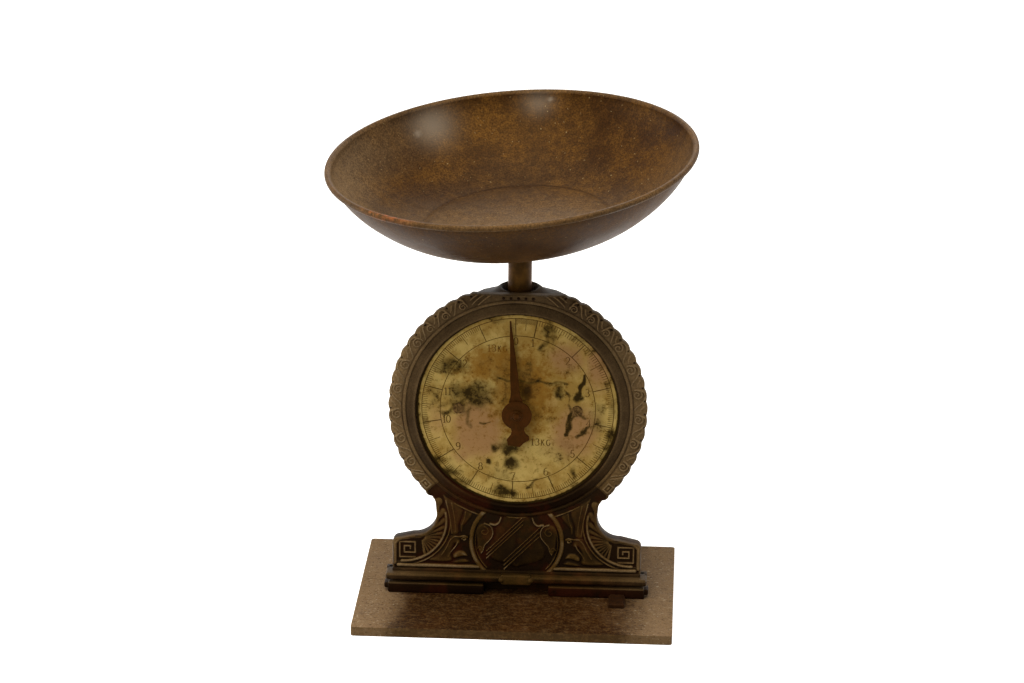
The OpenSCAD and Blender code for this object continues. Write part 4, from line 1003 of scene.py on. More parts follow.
def stain_values(x, z):
    """The dial's stains with painted shadows, its rust with a painted shadow, and its blush, at places given
    from its centre.
    """
    radius = np.hypot(x, z)
    angle = np.degrees(np.arctan2(x, z)) % 360
    # Nothing spills in a round spot, so the places are pushed about before the spots are laid
    x = x + 0.7*np.sin(0.55*z + 1.7*np.sin(0.31*x))
    z = z + 0.7*np.sin(0.5*x + 1.9*np.sin(0.27*z))
    places = np.stack([x, z], 1)
    stain = spread(x, z, STAINS_AND_SHADOW)
    for line, half, strength in STREAKS:
        ridge = np.zeros(len(x))
        raise_line(ridge, places, bend_through(line), half*1.7, strength, soft=1.0)
        stain = np.maximum(stain, ridge)
    # Darker towards the edge in a band that varies round the dial; the dark line at the very edge is painted
    # shadow of the bezel's lip
    edge_band = 0.42 + 0.2*np.sin(np.radians(angle*3 + 40)) + 0.14*np.sin(np.radians(angle*7))
    stain = np.maximum(stain, edge_band*np.clip((radius - 59)/5, 0, 1)**1.3*1.25)
    stain = stain + 1.6*np.clip((radius - 62.2)/0.9, 0, 1)
    return stain, spread(x, z, RUSTS_AND_SHADOW), spread(x, z, BLUSHES)


def stain_piece(piece):
    """Writes the three marks of stains and painted shadows, rust and blush on a piece that lies on the dial.
    """
    x, _, z = points_of(piece).T
    stain, rust, blush = stain_values(x, z - DIAL_Z)
    mark_points(piece, stain=stain, rust=rust, blush=blush)


def arc_pen(cx, cy, rx, ry, start, stop, steps=18):
    """A piece of an ellipse as pen points."""
    a = np.radians(np.linspace(start, stop, steps + 1))
    return np.stack([cx + rx*np.cos(a), cy + ry*np.sin(a)], 1)


# Pen strokes of the figures in a box one high; x is a share of the height
FIGURES = {
    "0": [arc_pen(0.3, 0.5, 0.26, 0.49, 90, 450)],
    "1": [[(0.12, 0.8), (0.3, 1.0), (0.3, 0.0)], [(0.14, 0.01), (0.46, 0.01)]],
    "2": [np.vstack([arc_pen(0.3, 0.74, 0.24, 0.25, 170, -35), [(0.06, 0.02), (0.56, 0.02), (0.57, 0.12)]])],
    "3": [np.vstack([arc_pen(0.28, 0.76, 0.22, 0.23, 155, -80), arc_pen(0.27, 0.27, 0.27, 0.27, 85, -150)])],
    "4": [[(0.44, 0.0), (0.44, 1.0), (0.03, 0.3), (0.6, 0.3)], [(0.32, 0.01), (0.56, 0.01)]],
    "5": [np.vstack([[(0.54, 0.98), (0.16, 0.98), (0.1, 0.55)], arc_pen(0.28, 0.31, 0.26, 0.3, 130, -150)])],
    "6": [arc_pen(0.3, 0.3, 0.25, 0.3, 0, 360), arc_pen(0.42, 0.5, 0.38, 0.48, 80, 190)],
    "7": [[(0.04, 0.84), (0.06, 0.98), (0.58, 0.98), (0.36, 0.5), (0.26, 0.0)]],
    "8": [arc_pen(0.3, 0.76, 0.2, 0.23, 0, 360), arc_pen(0.3, 0.27, 0.26, 0.27, 0, 360)],
    "9": [arc_pen(0.3, 0.7, 0.25, 0.29, 0, 360), arc_pen(0.18, 0.5, 0.38, 0.48, 10, -100)],
    "K": [[(0.1, 0.0), (0.1, 1.0)], [(0.5, 1.0), (0.12, 0.46)], [(0.22, 0.6), (0.54, 0.0)]],
    "G": [np.vstack([arc_pen(0.34, 0.5, 0.3, 0.49, 50, 340), [(0.62, 0.46), (0.42, 0.46)]])],
}
PEN_WIDE = {"1": 0.5, "K": 0.64, "G": 0.76}


def pen_ribbon(points, thin, thick):
    """A flat ribbon along pen points, wider where the pen runs up or down."""
    p = np.asarray(points, float)
    way = np.gradient(p, axis=0)
    way /= np.maximum(np.hypot(way[:, 0], way[:, 1]), 1e-9)[:, None]
    half = (thin + (thick - thin)*np.abs(way[:, 1])**1.5)/2
    normal = np.stack([-way[:, 1], way[:, 0]], 1)*half[:, None]
    left, right = p + normal, p - normal
    return left, right


def write_figures(word, x, z, height, small=None, apart=0.0):
    """Ribbons of a word centred on a place; letters after the figures may be smaller."""
    widths = [PEN_WIDE.get(c, 0.62)*(small if small and c.isalpha() else height) + apart for c in word]
    cursor = x - sum(widths)/2
    ribbons = []
    for c, width in zip(word, widths):
        tall = small if small and c.isalpha() else height
        for stroke in FIGURES[c]:
            p = np.array([(cursor + a*tall*0.95, z - height/2 + b*tall) for a, b in stroke])
            ribbons.append(pen_ribbon(p, 0.34, 0.66))
        cursor += width
    return ribbons


def dial_marks(paint, first, last, count, inner, width):
    """Geometry Nodes: evenly turned marks between two angles, in degrees from the top."""
    tree, given, values = start_tree("dial_marks", [
        ("Marks", "Int", count + 1), ("First angle", "Float", math.radians(first)),
        ("Step", "Float", math.radians((last - first)/count)), ("Inner radius", "Float", inner*MM),
        ("Outer radius", "Float", OUTER_CIRCLE*MM), ("Width", "Float", width*MM),
        ("Finish", "Material", paint)])
    line = put(tree, "GeometryNodeMeshLine", {}, {
        "Count": given["Marks"], "Offset": (0.0, 0.0, 0.0)}).outputs[0]
    ends = {0: given["Outer radius"], 1: given["Inner radius"]}
    length = put(tree, "ShaderNodeMath", {"operation": "SUBTRACT"}, ends).outputs[0]
    total = put(tree, "ShaderNodeMath", {"operation": "ADD"}, ends).outputs[0]
    middle = put(tree, "ShaderNodeMath", {"operation": "MULTIPLY"}, {0: total, 1: 0.5}).outputs[0]
    away = put(tree, "ShaderNodeCombineXYZ", {}, {"Y": middle}).outputs[0]
    strip = put(tree, "GeometryNodeMeshGrid", {}, {
        "Size X": given["Width"], "Size Y": length, "Vertices X": 2, "Vertices Y": 5}).outputs[0]
    strip = put(tree, "GeometryNodeTransform", {}, {"Geometry": strip, "Translation": away}).outputs[0]
    strip = put(tree, "GeometryNodeTransform", {}, {
        "Geometry": strip, "Rotation": (math.pi/2, 0.0, 0.0)}).outputs[0]
    index = put(tree, "GeometryNodeInputIndex").outputs[0]
    angle = put(tree, "ShaderNodeMath", {"operation": "MULTIPLY_ADD"}, {
        0: index, 1: given["Step"], 2: given["First angle"]}).outputs[0]
    turn = put(tree, "ShaderNodeCombineXYZ", {}, {"Y": angle}).outputs[0]
    placed = put(tree, "GeometryNodeInstanceOnPoints", {}, {
        "Points": line, "Instance": strip, "Rotation": turn}).outputs[0]
    lifted = put(tree, "GeometryNodeTransform", {}, {
        "Geometry": placed, "Translation": (0.0, -PRINT_F*MM, DIAL_Z*MM)}).outputs[0]
    return run_tree("marks", tree, lifted, given["Finish"], values)


# The dial's sheet: radius of its hole and of its edge, and its back; millimetres
DIAL_HOLE = 4.3
DIAL_R = 66.0
DIAL_BACK_F = 9.0
DIAL_TURNS = 420

# Radii of the print: both circles, where the half and the twentieth marks start, the figures
INNER_CIRCLE = 48.6
OUTER_CIRCLE = 60.1
HALF_MARKS = 52.5
FINE_MARKS = 56.7
FIGURES_R = 45.2


class DIALSCALE_OT_dial(bpy.types.Operator):
    """Build the stained dial with its circles, marks and figures, and the bezel over it"""

    bl_idname = "dialscale.dial"
    bl_label = "Dial and bezel"

    def execute(self, context):
        self.sheet()
        self.print_marks()
        self.bezel()
        return {"FINISHED"}

    def sheet(self):
        """The painted sheet, from its hole to under the bezel."""
        paint = stained_dial_paint("yellowed_dial_paint")
        face = [(r, DIAL_F) for r in np.linspace(DIAL_HOLE, DIAL_R, 96)]
        profile = [(DIAL_HOLE, DIAL_BACK_F)] + face + [(DIAL_R, DIAL_BACK_F)]
        local, faces = turned(profile, DIAL_TURNS)
        faces += closing_faces(len(profile), DIAL_TURNS)
        piece = make_piece("dial_sheet", to_front(local), faces, paint, CASING, 40)
        stain_piece(piece)
        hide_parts("dial_plate")

    def print_marks(self):
        """The printed marks, circles and figures, just over the sheet."""
        ink = stained_dial_paint("printed_dial_ink", ink=True)
        wide = sizes().line_width/MM
        parts = []
        for low, high in zip(KILOS[:-1], KILOS[1:]):
            parts.append(dial_marks(ink, low, high, 20, FINE_MARKS, 0.34))
            parts.append(dial_marks(ink, low, high, 2, HALF_MARKS, 0.4))
            parts.append(dial_marks(ink, low, high, 1, INNER_CIRCLE, wide))
        piece = join_meshes("dial_print", parts + [self.circles_and_figures(wide)])
        with opened(piece.data) as work:
            for f in work.faces:
                f.normal_update()
                if f.normal.y > 0:
                    f.normal_flip()
        finish_piece(piece, ink, CASING, 180)
        stain_piece(piece)

    def circles_and_figures(self, wide):
        """Both circles, the figure of each kilogram, and the two unit marks, as ribbons."""
        ribbons = []
        around = np.linspace(0, 2*math.pi, 361)
        ring = np.stack([np.sin(around), np.cos(around)], 1)
        for r in (INNER_CIRCLE, OUTER_CIRCLE):
            ribbons.append((ring*(r + wide/2), ring*(r - wide/2)))
        high = sizes().figure_height/MM
        for kilo, angle in enumerate(KILOS[:13]):
            a = math.radians(angle)
            ribbons += write_figures(str(kilo), FIGURES_R*math.sin(a), FIGURES_R*math.cos(a), high)
        for x, z in ((-12.5, 40.2), (15.0, -21.6)):
            ribbons += write_figures("13KG", x, z, 4.6, 4.0, 0.75)
        verts = []
        faces = []
        for left, right in ribbons:
            start = len(verts)
            for pair in zip(left, right):
                verts += [(x, -PRINT_F, z + DIAL_Z) for x, z in pair]
            for a in range(start, len(verts) - 2, 2):
                faces.append((a, a + 1, a + 3, a + 2))
        mesh = bpy.data.meshes.new("figures")
        mesh.from_pydata((np.array(verts)*MM).tolist(), [], faces)
        return place_data("figures", mesh)

    def bezel(self):
        """The moulded ring, dusty on its lip, with painted shade on its inner wall and at its bottom."""
        iron = japanned_iron("japanned_bezel_iron", 0.7)
        piece = moulded_ring(iron)
        x, y, z = points_of(piece).T
        z = z - DIAL_Z
        value = np.interp(-y, [10, 12.4, 13.4], [0.5, 0.46, 0.66])
        # The inner wall is painted dark, as the lip's shadow on the dial
        value = np.where(np.hypot(x, z) < 64.0, -0.4, value)
        # Painted shade darkens the bottom, which faces down into the pedestal's corner
        value = value - 0.5*np.clip(-z/np.hypot(x, z), 0, 1)**3
        mark_points(piece, relief=value)
        finish_piece(piece, iron, CASING, 50)
        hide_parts("bezel_ring")


# The bezel's section: distance from the dial's axis and in front of the XZ plane, millimetres
BEZEL = [(63.7, 9.8), (63.7, 12.7), (63.85, 13.1), (64.2, 13.35), (64.6, 13.4), (65.0, 13.3),
         (65.3, 12.95), (65.6, 12.75), (67.0, 12.2), (67.8, 11.86), (68.6, 11.5), (69.5, 10.95),
         (69.85, 10.6), (69.9, 10.2), (66.15, 10.2), (66.15, 9.8)]


def moulded_ring(iron):
    """Geometry Nodes: the bezel, whose section is turned about the dial's axis. Two curves
    give the section's radius and height, and the inputs stretch it."""
    radii, fronts = zip(*BEZEL)
    low_r = min(radii)
    low_f = min(fronts)
    wide = max(radii) - low_r
    high = max(fronts) - low_f
    tree, given, values = start_tree("moulded_ring", [
        ("Turns", "Int", 256), ("Inner radius", "Float", low_r*MM), ("Width", "Float", wide*MM),
        ("Base", "Float", low_f*MM), ("Height", "Float", high*MM), ("Finish", "Material", iron)])
    # A flat sheet of one turn by one section, which is then bent to the ring
    around = put(tree, "ShaderNodeMath", {"operation": "ADD"}, {0: given["Turns"], 1: 1}).outputs[0]
    grid = put(tree, "GeometryNodeMeshGrid", {}, {
        "Size X": 1.0, "Size Y": 1.0, "Vertices X": around, "Vertices Y": len(BEZEL) + 1}).outputs["Mesh"]
    position = put(tree, "GeometryNodeInputPosition").outputs[0]
    place = put(tree, "ShaderNodeSeparateXYZ", {}, {0: position}).outputs
    turn = put(tree, "ShaderNodeMath", {"operation": "ADD"}, {0: place["X"], 1: 0.5}).outputs[0]
    angle = put(tree, "ShaderNodeMath", {"operation": "MULTIPLY"}, {0: turn, 1: 2*math.pi}).outputs[0]
    along = put(tree, "ShaderNodeMath", {"operation": "ADD"}, {0: place["Y"], 1: 0.5}).outputs[0]

    def section(shares, base, size):
        """A measure round the section: base and a share of size at each of its points."""
        node = put(tree, "ShaderNodeFloatCurve", {}, {"Value": along})
        curve = node.mapping.curves[0]
        for k, share in enumerate(shares + shares[:1]):
            spot = (k/len(shares), share)
            if k in (0, len(shares)):
                curve.points[0 if k == 0 else len(curve.points) - 1].location = spot
            else:
                curve.points.new(*spot)
        for point in curve.points:
            point.handle_type = "VECTOR"
        node.mapping.update()
        return put(tree, "ShaderNodeMath", {"operation": "MULTIPLY_ADD"}, {
            0: given[size], 1: node.outputs[0], 2: given[base]}).outputs[0]

    radius = section([(r - low_r)/wide for r in radii], "Inner radius", "Width")
    front = section([(f - low_f)/high for f in fronts], "Base", "Height")
    sine = put(tree, "ShaderNodeMath", {"operation": "SINE"}, {0: angle}).outputs[0]
    cosine = put(tree, "ShaderNodeMath", {"operation": "COSINE"}, {0: angle}).outputs[0]
    spot = put(tree, "ShaderNodeCombineXYZ", {}, {
        "X": put(tree, "ShaderNodeMath", {"operation": "MULTIPLY"}, {0: radius, 1: sine}).outputs[0],
        "Y": put(tree, "ShaderNodeMath", {"operation": "MULTIPLY"}, {0: front, 1: -1.0}).outputs[0],
        "Z": put(tree, "ShaderNodeMath", {"operation": "MULTIPLY_ADD"}, {
            0: radius, 1: cosine, 2: DIAL_Z*MM}).outputs[0]}).outputs[0]
    shape = put(tree, "GeometryNodeSetPosition", {}, {"Geometry": grid, "Position": spot}).outputs[0]
    # Both ends of the turn and of the section meet
    shape = put(tree, "GeometryNodeMergeByDistance", {}, {"Geometry": shape, "Distance": 0.000002}).outputs[0]
    piece = run_tree("bezel", tree, shape, given["Finish"], values)
    turn_outwards(piece.data)
    return piece


# Pointer


class DIALSCALE_OT_pointer(bpy.types.Operator):
    """Dress the pointer, its dome nut and the dial's two screws"""

    bl_idname = "dialscale.pointer"
    bl_label = "Pointer"

    def execute(self, context):
        rust = rusted_steel("rusted_pointer_steel", colours().pointer_rust, "#42230a", 4.167, 0.5, 0.0, 0.12)
        dress_copy("pointer", "pointer_blade", rust, ARBOR, 0.22)
        dress_copy("pointer_cap", "pointer_dome", rust, ARBOR, 0.15)
        screw = rusted_steel("rusted_screw_steel", "#5b4526", "#33220d", 1.42857, 0.45, 0.4)
        dress_copy("dial_screws", "dial_screw_heads", screw, CASING, 0.15)
        return {"FINISHED"}


# Pan, seat and stem


def pan_frame():
    """Where the pan's own axis and floor lie, in millimetres."""
    place = Matrix.Translation((0, STEM_Y, PAN_Z))
    turn = Matrix.Rotation(math.radians(-4.43), 4, "Y") @ Matrix.Rotation(math.radians(4.85), 4, "X")
    return place @ turn @ Matrix.Translation((-2.3, 0.2, 0))


# The pan: outer radius, height, radius of its floor, its sheet, radius of its rolled rim
PAN_R = 115.14
PAN_H = 45.48
FLOOR_R = 60.0
SHEET = 1.2
BEAD = 1.9
# How steeply the wall turns up, and its middle radius
WALL_POWER = 1.4
WALL_R = 100
# Where the pressed crease runs round the floor
CREASE_R = 58.5
PAN_TURNS = 320

# Glossy spots on the far wall, with painted highlights: angle from +X in degrees, height, spread in
# millimetres, strength
GLOSS_AND_HIGHLIGHTS = [(122.0, 34.0, 13.0, 0.8), (128.0, 31.0, 3.0, 1.0), (84.0, 39.0, 9.0, 0.55), (80.0, 40.0, 2.0, 1.2)]

# Dents of the far wall: angle from +X in degrees, height, spread in millimetres
DENTS = [(128.0, 33.0, 11.0, 1.0), (84.0, 38.0, 8.0, 0.7), (136.0, 30.0, 5.0, 0.5)]


def pan_profile(steps=40):
    """Outside and inside of the pan's wall, from the middle of the floor to the rim."""
    wall_r, wall_h = PAN_R - BEAD - 1.1, PAN_H - BEAD
    a = np.radians(np.linspace(0, 90, steps + 1))
    r = FLOOR_R + (wall_r - FLOOR_R)*np.sin(a)**WALL_POWER
    h = wall_h*(1 - np.cos(a)**WALL_POWER)
    floor = np.concatenate([np.linspace(0.6, 56.5, 24), [57.4, 58.0, 58.5, 59.0, 59.5]])
    return np.concatenate([floor, r]), np.concatenate([np.zeros(len(floor)), h])


def along_wall(angle, at):
    """Distance along the pan's wall from an angle in degrees, in millimetres."""
    return ((angle - at + 180) % 360 - 180)*math.pi/180*WALL_R


class DIALSCALE_OT_pan(bpy.types.Operator):
    """Build the dented pan with its rolled rim, its seat and the stem"""

    bl_idname = "dialscale.pan"
    bl_label = "Pan and stem"

    def execute(self, context):
        steel = browned_pan_steel("browned_pan_steel")
        self.shell(steel)
        brown = rusted_steel("browned_stem_steel", colours().stem_brown, "#2a1a07", 8.33333, 0.4, 0.3)
        dress_copy("stem", "stem_bar", brown, CARRIER, 0.3)
        dress_copy("pan_seat", "pan_seat_flange", brown, CARRIER, 0.4)
        return {"FINISHED"}

    def shell(self, steel):
        """The pressed sheet with its rolled rim, dents and crease, leaning as in the photograph."""
        r, h = pan_profile()
        slope_r = np.gradient(r)
        slope_h = np.gradient(h)
        size = np.hypot(slope_r, slope_h)
        inner_r = r - SHEET*slope_h/size
        inner_h = h + SHEET*slope_r/size
        rim = arc_points(PAN_R - BEAD, PAN_H - BEAD, BEAD, np.linspace(-150, 120, 16))
        profile = list(zip(r, h)) + rim + list(zip(inner_r[::-1], inner_h[::-1]))
        count = len(profile)
        # 0 outside, 0.5 on the rim and 1 inside
        side = np.repeat([0]*len(r) + [0.5]*len(rim) + [1]*len(r), PAN_TURNS)
        side = np.concatenate([side, [0, 1]])
        local, faces = turned(profile, PAN_TURNS)
        # The floor's two middles are closed by fans
        start = len(local)
        local = np.vstack([local, [[0, 0, profile[0][1]], [0, 0, profile[-1][1]]]])
        top = (count - 1)*PAN_TURNS
        faces += [(start, (j + 1) % PAN_TURNS, j) for j in range(PAN_TURNS)]
        faces += [(start + 1, top + j, top + (j + 1) % PAN_TURNS) for j in range(PAN_TURNS)]
        angle = np.degrees(np.arctan2(local[:, 1], local[:, 0])) % 360
        radius = np.hypot(local[:, 0], local[:, 1])
        high = local[:, 2].copy()
        # Dents push the wall outwards, seen from inside
        push = np.zeros(len(local))
        for at, up, wide, share in DENTS:
            gap = np.hypot(along_wall(angle, at), (high - up)*1.2)
            push += share*np.exp(-(gap/wide)**2)
        push += 0.12*np.sin(np.radians(angle*3 + 20))*np.clip((radius - 62)/20, 0, 1)
        ripple = 0.10*np.sin(angle/7.0)*np.sin(radius/6.0)*np.clip((radius - 20)/30, 0, 1)
        deep = sizes().pan_dent/MM
        grip = np.clip((PAN_H - high)/6, 0, 1)*np.clip(high/4, 0, 1)
        unit = local[:, :2]/np.maximum(radius, 1e-6)[:, None]
        shift = (push*deep*0.5 + ripple)*grip
        local[:, :2] += unit*shift[:, None]
        # A pressed crease where the floor turns up
        crease = 0.35*np.exp(-((radius - CREASE_R)/1.1)**2)
        local[:, 2] -= np.where(side > 0.9, crease, 0)
        move = pan_frame()
        turn = np.array(move.to_3x3())
        verts = local @ turn.T + np.array(move.translation)
        piece = make_piece("pan_shell", verts, faces, steel, CARRIER, 50)
        self.finish_values(piece, local, angle, radius, high, side)
        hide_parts("pan")

    def finish_values(self, piece, local, angle, radius, high, side):
        """Marks for the pan's finish: ochre, pale dust, a scrape, dark places with painted shade low on the
        outside, and glossy spots with painted highlights.
        """
        bowl = side > 0.9
        back = np.cos(np.radians(angle - 80))
        ochre = np.where(bowl, np.clip(0.5 + 0.6*back, 0, 1), 0.5)
        ochre = ochre*np.clip((radius - 30)/30, 0.6, 1)
        edges = np.clip(-np.cos(np.radians(angle)), 0.15, 1)**3*np.clip((radius - 85)/20, 0, 1)
        pale = np.where(bowl, 0.7*edges + 0.75*np.clip((-local[:, 1] + 40)/100, 0, 1), 0.0)
        pale = pale + np.where(bowl, 0.2*np.clip((88 - radius)/45, 0, 1), 0.0)
        pale = np.where((side > 0.3) & (side < 0.9), 0.35, pale)
        # A bare scrape on the rim, front left
        turn_away = (angle - 232 + 180) % 360 - 180
        scrape = 0.8*np.exp(-(turn_away/8)**2)*np.exp(-((radius - 113.3)/1.8)**2)*(side > 0.4)
        # Painted shade low down on the pan's outside, most in the middle at the front and back; a dark spot
        # in front, and a dark line along the crease on the far side
        under = np.clip(0.5 - 0.5*np.abs(np.cos(np.radians(angle))), 0, 1)*np.clip((PAN_H - high)/20, 0, 1)
        spot = np.exp(-((angle - 272)/5)**2)*np.exp(-((high - 14)/5)**2)
        dark = np.where(side < 0.3, np.maximum(under, spot), 0)
        far = np.clip(np.cos(np.radians(angle - 90)) + 0.2, 0, 1)
        dark = np.maximum(dark, 0.85*np.exp(-((radius - 59.2)/0.8)**2)*bowl*far)
        sheen = np.zeros(len(local))
        for at, up, wide, share in GLOSS_AND_HIGHLIGHTS:
            gap = np.hypot(along_wall(angle, at), (high - up)*1.3)
            sheen = np.maximum(sheen, share*np.exp(-(gap/wide)**2))
        sheen = np.where(bowl, sheen, 0)
        mark_points(piece, ochre=ochre, pale=pale, scrape=scrape, dark=dark, sheen=sheen)


# Casing and hidden works


class DIALSCALE_OT_casing(bpy.types.Operator):
    """Dress the plate, the rear housing, its cover and the screws"""

    bl_idname = "dialscale.casing"
    bl_label = "Plate and housing"

    def execute(self, context):
        plate = rusted_plate_iron("rusted_plate_iron")
        dress_copy("base_plate", "base_plate_iron", plate, CASING, 0.5)
        clip = rusted_steel("rusted_clip_iron", "#1f1007", "#2d190b", 3.33333, 0.6, 0.0, 0.12)
        dress_copy("plate_clip", "plate_clip_iron", clip, CASING, 0.4)
        iron = japanned_iron("japanned_housing_iron", 0.5)
        housing = dress_copy("rear_housing", "housing_shell", iron, CASING, 0.0, 30)
        mark_points(housing, relief=np.full(len(housing.data.vertices), 0.35))
        paint = rusted_steel("painted_cover_sheet", "#2b241b", "#3d2c1a", 16.6667, 0.55, 0.0)
        dress_copy("back_cover", "cover_sheet", paint, CASING, 0.3)
        screw = rusted_steel("dull_screw_steel", "#564a38", "#3a2a18", 2.0, 0.42, 0.7)
        dress_copy("casing_screws", "casing_screw_heads", screw, CASING, 0.2)
        return {"FINISHED"}


class DIALSCALE_OT_works(bpy.types.Operator):
    """Give the hidden movement its brass and steel finishes"""

    bl_idname = "dialscale.works"
    bl_label = "Movement"

    def execute(self, context):
        finishes = {
            "movement_brass": rusted_steel("tarnished_brass", "#8a6c33", "#5c451d", 2.5, 0.42, 0.9, 0.5),
            "movement_steel": rusted_steel(
                "dull_movement_steel", "#6f685d", "#4f4334", 2.85714, 0.38, 0.85, 0.5),
            "spring_wire": rusted_steel("oiled_spring_steel", "#7b756b", "#575046", 2.0, 0.32, 0.9, 0.5),
            "screw_steel": rusted_steel("blued_screw_steel", "#5a5348", "#3c3327", 2.22222, 0.4, 0.8, 0.5),
            "stem_steel": rusted_steel("stem_end_steel", "#4a3a22", "#2a1a07", 3.33333, 0.45, 0.5),
        }
        slots = {row["node"]: row["material_slot"] for row in frame["record"]["subparts"]}
        for name, obj in frame["nodes"].items():
            material = finishes.get(slots.get(name))
            if material is None or obj.hide_render:
                continue
            obj.data.materials.clear()
            obj.data.materials.append(material)
        return {"FINISHED"}


# Stage

LAMP_COLOUR = "#fffaf0"
LAMP_TARGET = (0, 0, 0.16)

# Lamps: name, place in metres, power in watts, size in metres
LAMPS = [("overhead", (-0.15, -0.4, 1.6), 34.0, 1.3), ("key", (-0.6, -1.6, 0.95), 9.0, 0.8),
         ("left", (-1.6, 0.1, 0.5), 9.0, 0.8), ("right", (1.6, 0.1, 0.5), 4.0, 0.8),
         ("rear", (0.0, 1.6, 1.2), 5.0, 0.9)]

# Half the floor's width, and its depth under the object; metres
FLOOR_HALF = 6.0
FLOOR_Z = -0.0001

# The photograph's camera, fitted to the plate, the ring, the dial and the pan. Its turn, rise
# and roll are in degrees, and its focus in pixels of a picture of that width.
CAMERA_TURN = 3.064
CAMERA_RISE = 19.663
CAMERA_ROLL = 0.432
CAMERA_FOCUS = 3444.7
PICTURE_WIDTH = 1024
SENSOR_WIDTH = 36.0
# Its distance in metres from the place it looks at, in millimetres
CAMERA_AWAY = 2.14815
CAMERA_TARGET = (-4.407, 0, 171.868)


def seen_directly(tree):
    """1 for what the camera sees directly, mirrored or through glass, otherwise 0."""
    path = put(tree, "ShaderNodeLightPath").outputs
    seen = path["Is Camera Ray"]
    for ray in ("Is Glossy Ray", "Is Transmission Ray"):
        seen = put(tree, "ShaderNodeMath", {"operation": "MAXIMUM"}, {0: seen, 1: path[ray]}).outputs[0]
    return seen


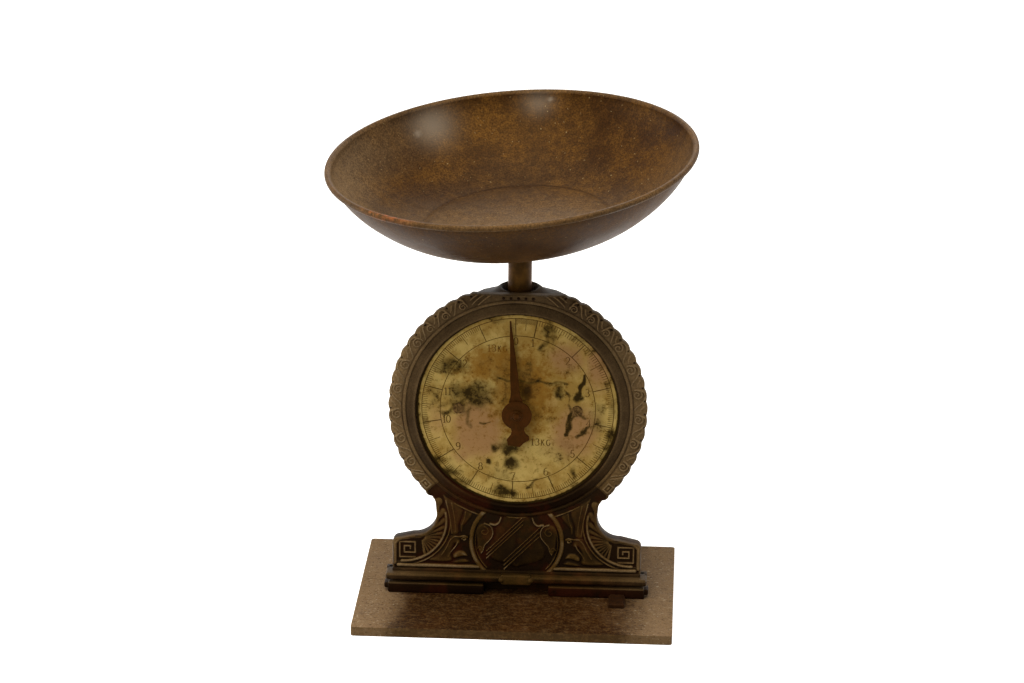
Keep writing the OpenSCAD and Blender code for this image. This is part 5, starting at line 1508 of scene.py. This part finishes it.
class DIALSCALE_OT_stage(bpy.types.Operator):
    """Lay the pale floor, hang the lamps and set the camera at the photograph's angle"""

    bl_idname = "dialscale.stage"
    bl_label = "Stage"

    def execute(self, context):
        self.floor()
        self.lamps()
        self.backdrop()
        self.camera(context)
        return {"FINISHED"}

    def floor(self):
        """A pale floor that looks white and lights the object only a little."""
        material = bpy.data.materials.new("white_studio_floor")
        material.use_nodes = True
        tree = material.node_tree
        tree.nodes.clear()
        paper = put(tree, "ShaderNodeBsdfDiffuse", {}, {"Color": linear("#efefef")}).outputs[0]
        matte = put(tree, "ShaderNodeBsdfDiffuse", {}, {"Color": linear("#959595")}).outputs[0]
        glow = put(tree, "ShaderNodeEmission", {}, {"Color": linear("#ffffff"), "Strength": 0.8}).outputs[0]
        both = put(tree, "ShaderNodeAddShader", {}, {0: paper, 1: glow}).outputs[0]
        shader = put(tree, "ShaderNodeMixShader", {}, {0: seen_directly(tree), 1: matte, 2: both}).outputs[0]
        put(tree, "ShaderNodeOutputMaterial", {}, {"Surface": shader})
        mesh = bpy.data.meshes.new("floor")
        corners = ((-1, -1), (1, -1), (1, 1), (-1, 1))
        mesh.from_pydata([(x*FLOOR_HALF, y*FLOOR_HALF, FLOOR_Z) for x, y in corners], [], [(0, 1, 2, 3)])
        mesh.materials.append(material)
        place_data("floor", mesh)

    def lamps(self):
        """Soft lamps round the object, all aimed at its middle."""
        for name, place, power, size in LAMPS:
            light = bpy.data.lights.new(name, "AREA")
            light.energy = power
            light.size = size
            light.color = linear(LAMP_COLOUR)[:3]
            lamp = place_data(name, light)
            lamp.location = place
            way = Vector(LAMP_TARGET) - Vector(place)
            lamp.rotation_euler = way.to_track_quat("-Z", "Y").to_euler()

    def backdrop(self):
        """A faint warm fill, which the camera sees as white."""
        world = bpy.data.worlds.new("studio")
        bpy.context.scene.world = world
        world.use_nodes = True
        tree = world.node_tree
        tree.nodes.clear()
        soft = put(tree, "ShaderNodeBackground", {}, {
            "Color": linear(LAMP_COLOUR), "Strength": 0.22}).outputs[0]
        white = put(tree, "ShaderNodeBackground", {}, {
            "Color": linear("#ffffff"), "Strength": 1.0}).outputs[0]
        shader = put(tree, "ShaderNodeMixShader", {}, {0: seen_directly(tree), 1: soft, 2: white}).outputs[0]
        put(tree, "ShaderNodeOutputWorld", {}, {"Surface": shader})

    def camera(self, context):
        """The camera where the photograph was taken from."""
        turn, rise, roll = (math.radians(v) for v in (CAMERA_TURN, CAMERA_RISE, CAMERA_ROLL))
        back = Vector((math.sin(turn)*math.cos(rise), -math.cos(turn)*math.cos(rise), math.sin(rise)))
        side = Vector((math.cos(turn), math.sin(turn), 0))
        over = back.cross(side)
        right = side*math.cos(roll) + over*math.sin(roll)
        up = over*math.cos(roll) - side*math.sin(roll)
        data = bpy.data.cameras.new("photo_camera")
        data.sensor_fit = "HORIZONTAL"
        data.sensor_width = SENSOR_WIDTH
        data.lens = SENSOR_WIDTH*CAMERA_FOCUS/PICTURE_WIDTH
        data.clip_end = 20.0
        camera = place_data("photo_camera", data)
        place = Vector(CAMERA_TARGET)*MM + back*CAMERA_AWAY
        axes = Matrix((right, up, back)).transposed()
        camera.matrix_world = Matrix.Translation(place) @ axes.to_4x4()
        context.scene.camera = camera
        context.scene.view_settings.view_transform = "Standard"


# Add-on


class DIALSCALE_PT_panel(bpy.types.Panel):
    """Sizes, colours and builders of the dial scale"""

    bl_idname = "DIALSCALE_PT_panel"
    bl_label = "Dial scale"
    bl_space_type = "VIEW_3D"
    bl_region_type = "UI"
    bl_category = "Dial scale"

    def draw(self, context):
        for group in (context.scene.dial_scale_sizes, context.scene.dial_scale_colours):
            box = self.layout.box()
            for key in group.bl_rna.properties.keys():
                if key not in ("rna_type", "name"):
                    box.prop(group, key)
        for step in STEPS:
            self.layout.operator(f"dialscale.{step}")


STEPS = ("stage", "casing", "casting", "dial", "pointer", "pan", "works")
CLASSES = (
    DIALSCALE_PG_sizes, DIALSCALE_PG_colours, DIALSCALE_OT_stage, DIALSCALE_OT_casing,
    DIALSCALE_OT_casting, DIALSCALE_OT_dial, DIALSCALE_OT_pointer, DIALSCALE_OT_pan,
    DIALSCALE_OT_works, DIALSCALE_PT_panel)


def register():
    """Adds the classes and the scene's settings."""
    for cls in CLASSES:
        bpy.utils.register_class(cls)
    bpy.types.Scene.dial_scale_sizes = PointerProperty(type=DIALSCALE_PG_sizes)
    bpy.types.Scene.dial_scale_colours = PointerProperty(type=DIALSCALE_PG_colours)


def unregister():
    """Takes the settings and the classes away again."""
    del bpy.types.Scene.dial_scale_colours
    del bpy.types.Scene.dial_scale_sizes
    for cls in reversed(CLASSES):
        bpy.utils.unregister_class(cls)


def main():
    """Runs each step once."""
    register()
    for step in STEPS:
        if getattr(bpy.ops.dialscale, step)() != {"FINISHED"}:
            raise RuntimeError(f"the step {step} didn't finish")


if __name__ == "__main__":
    main()
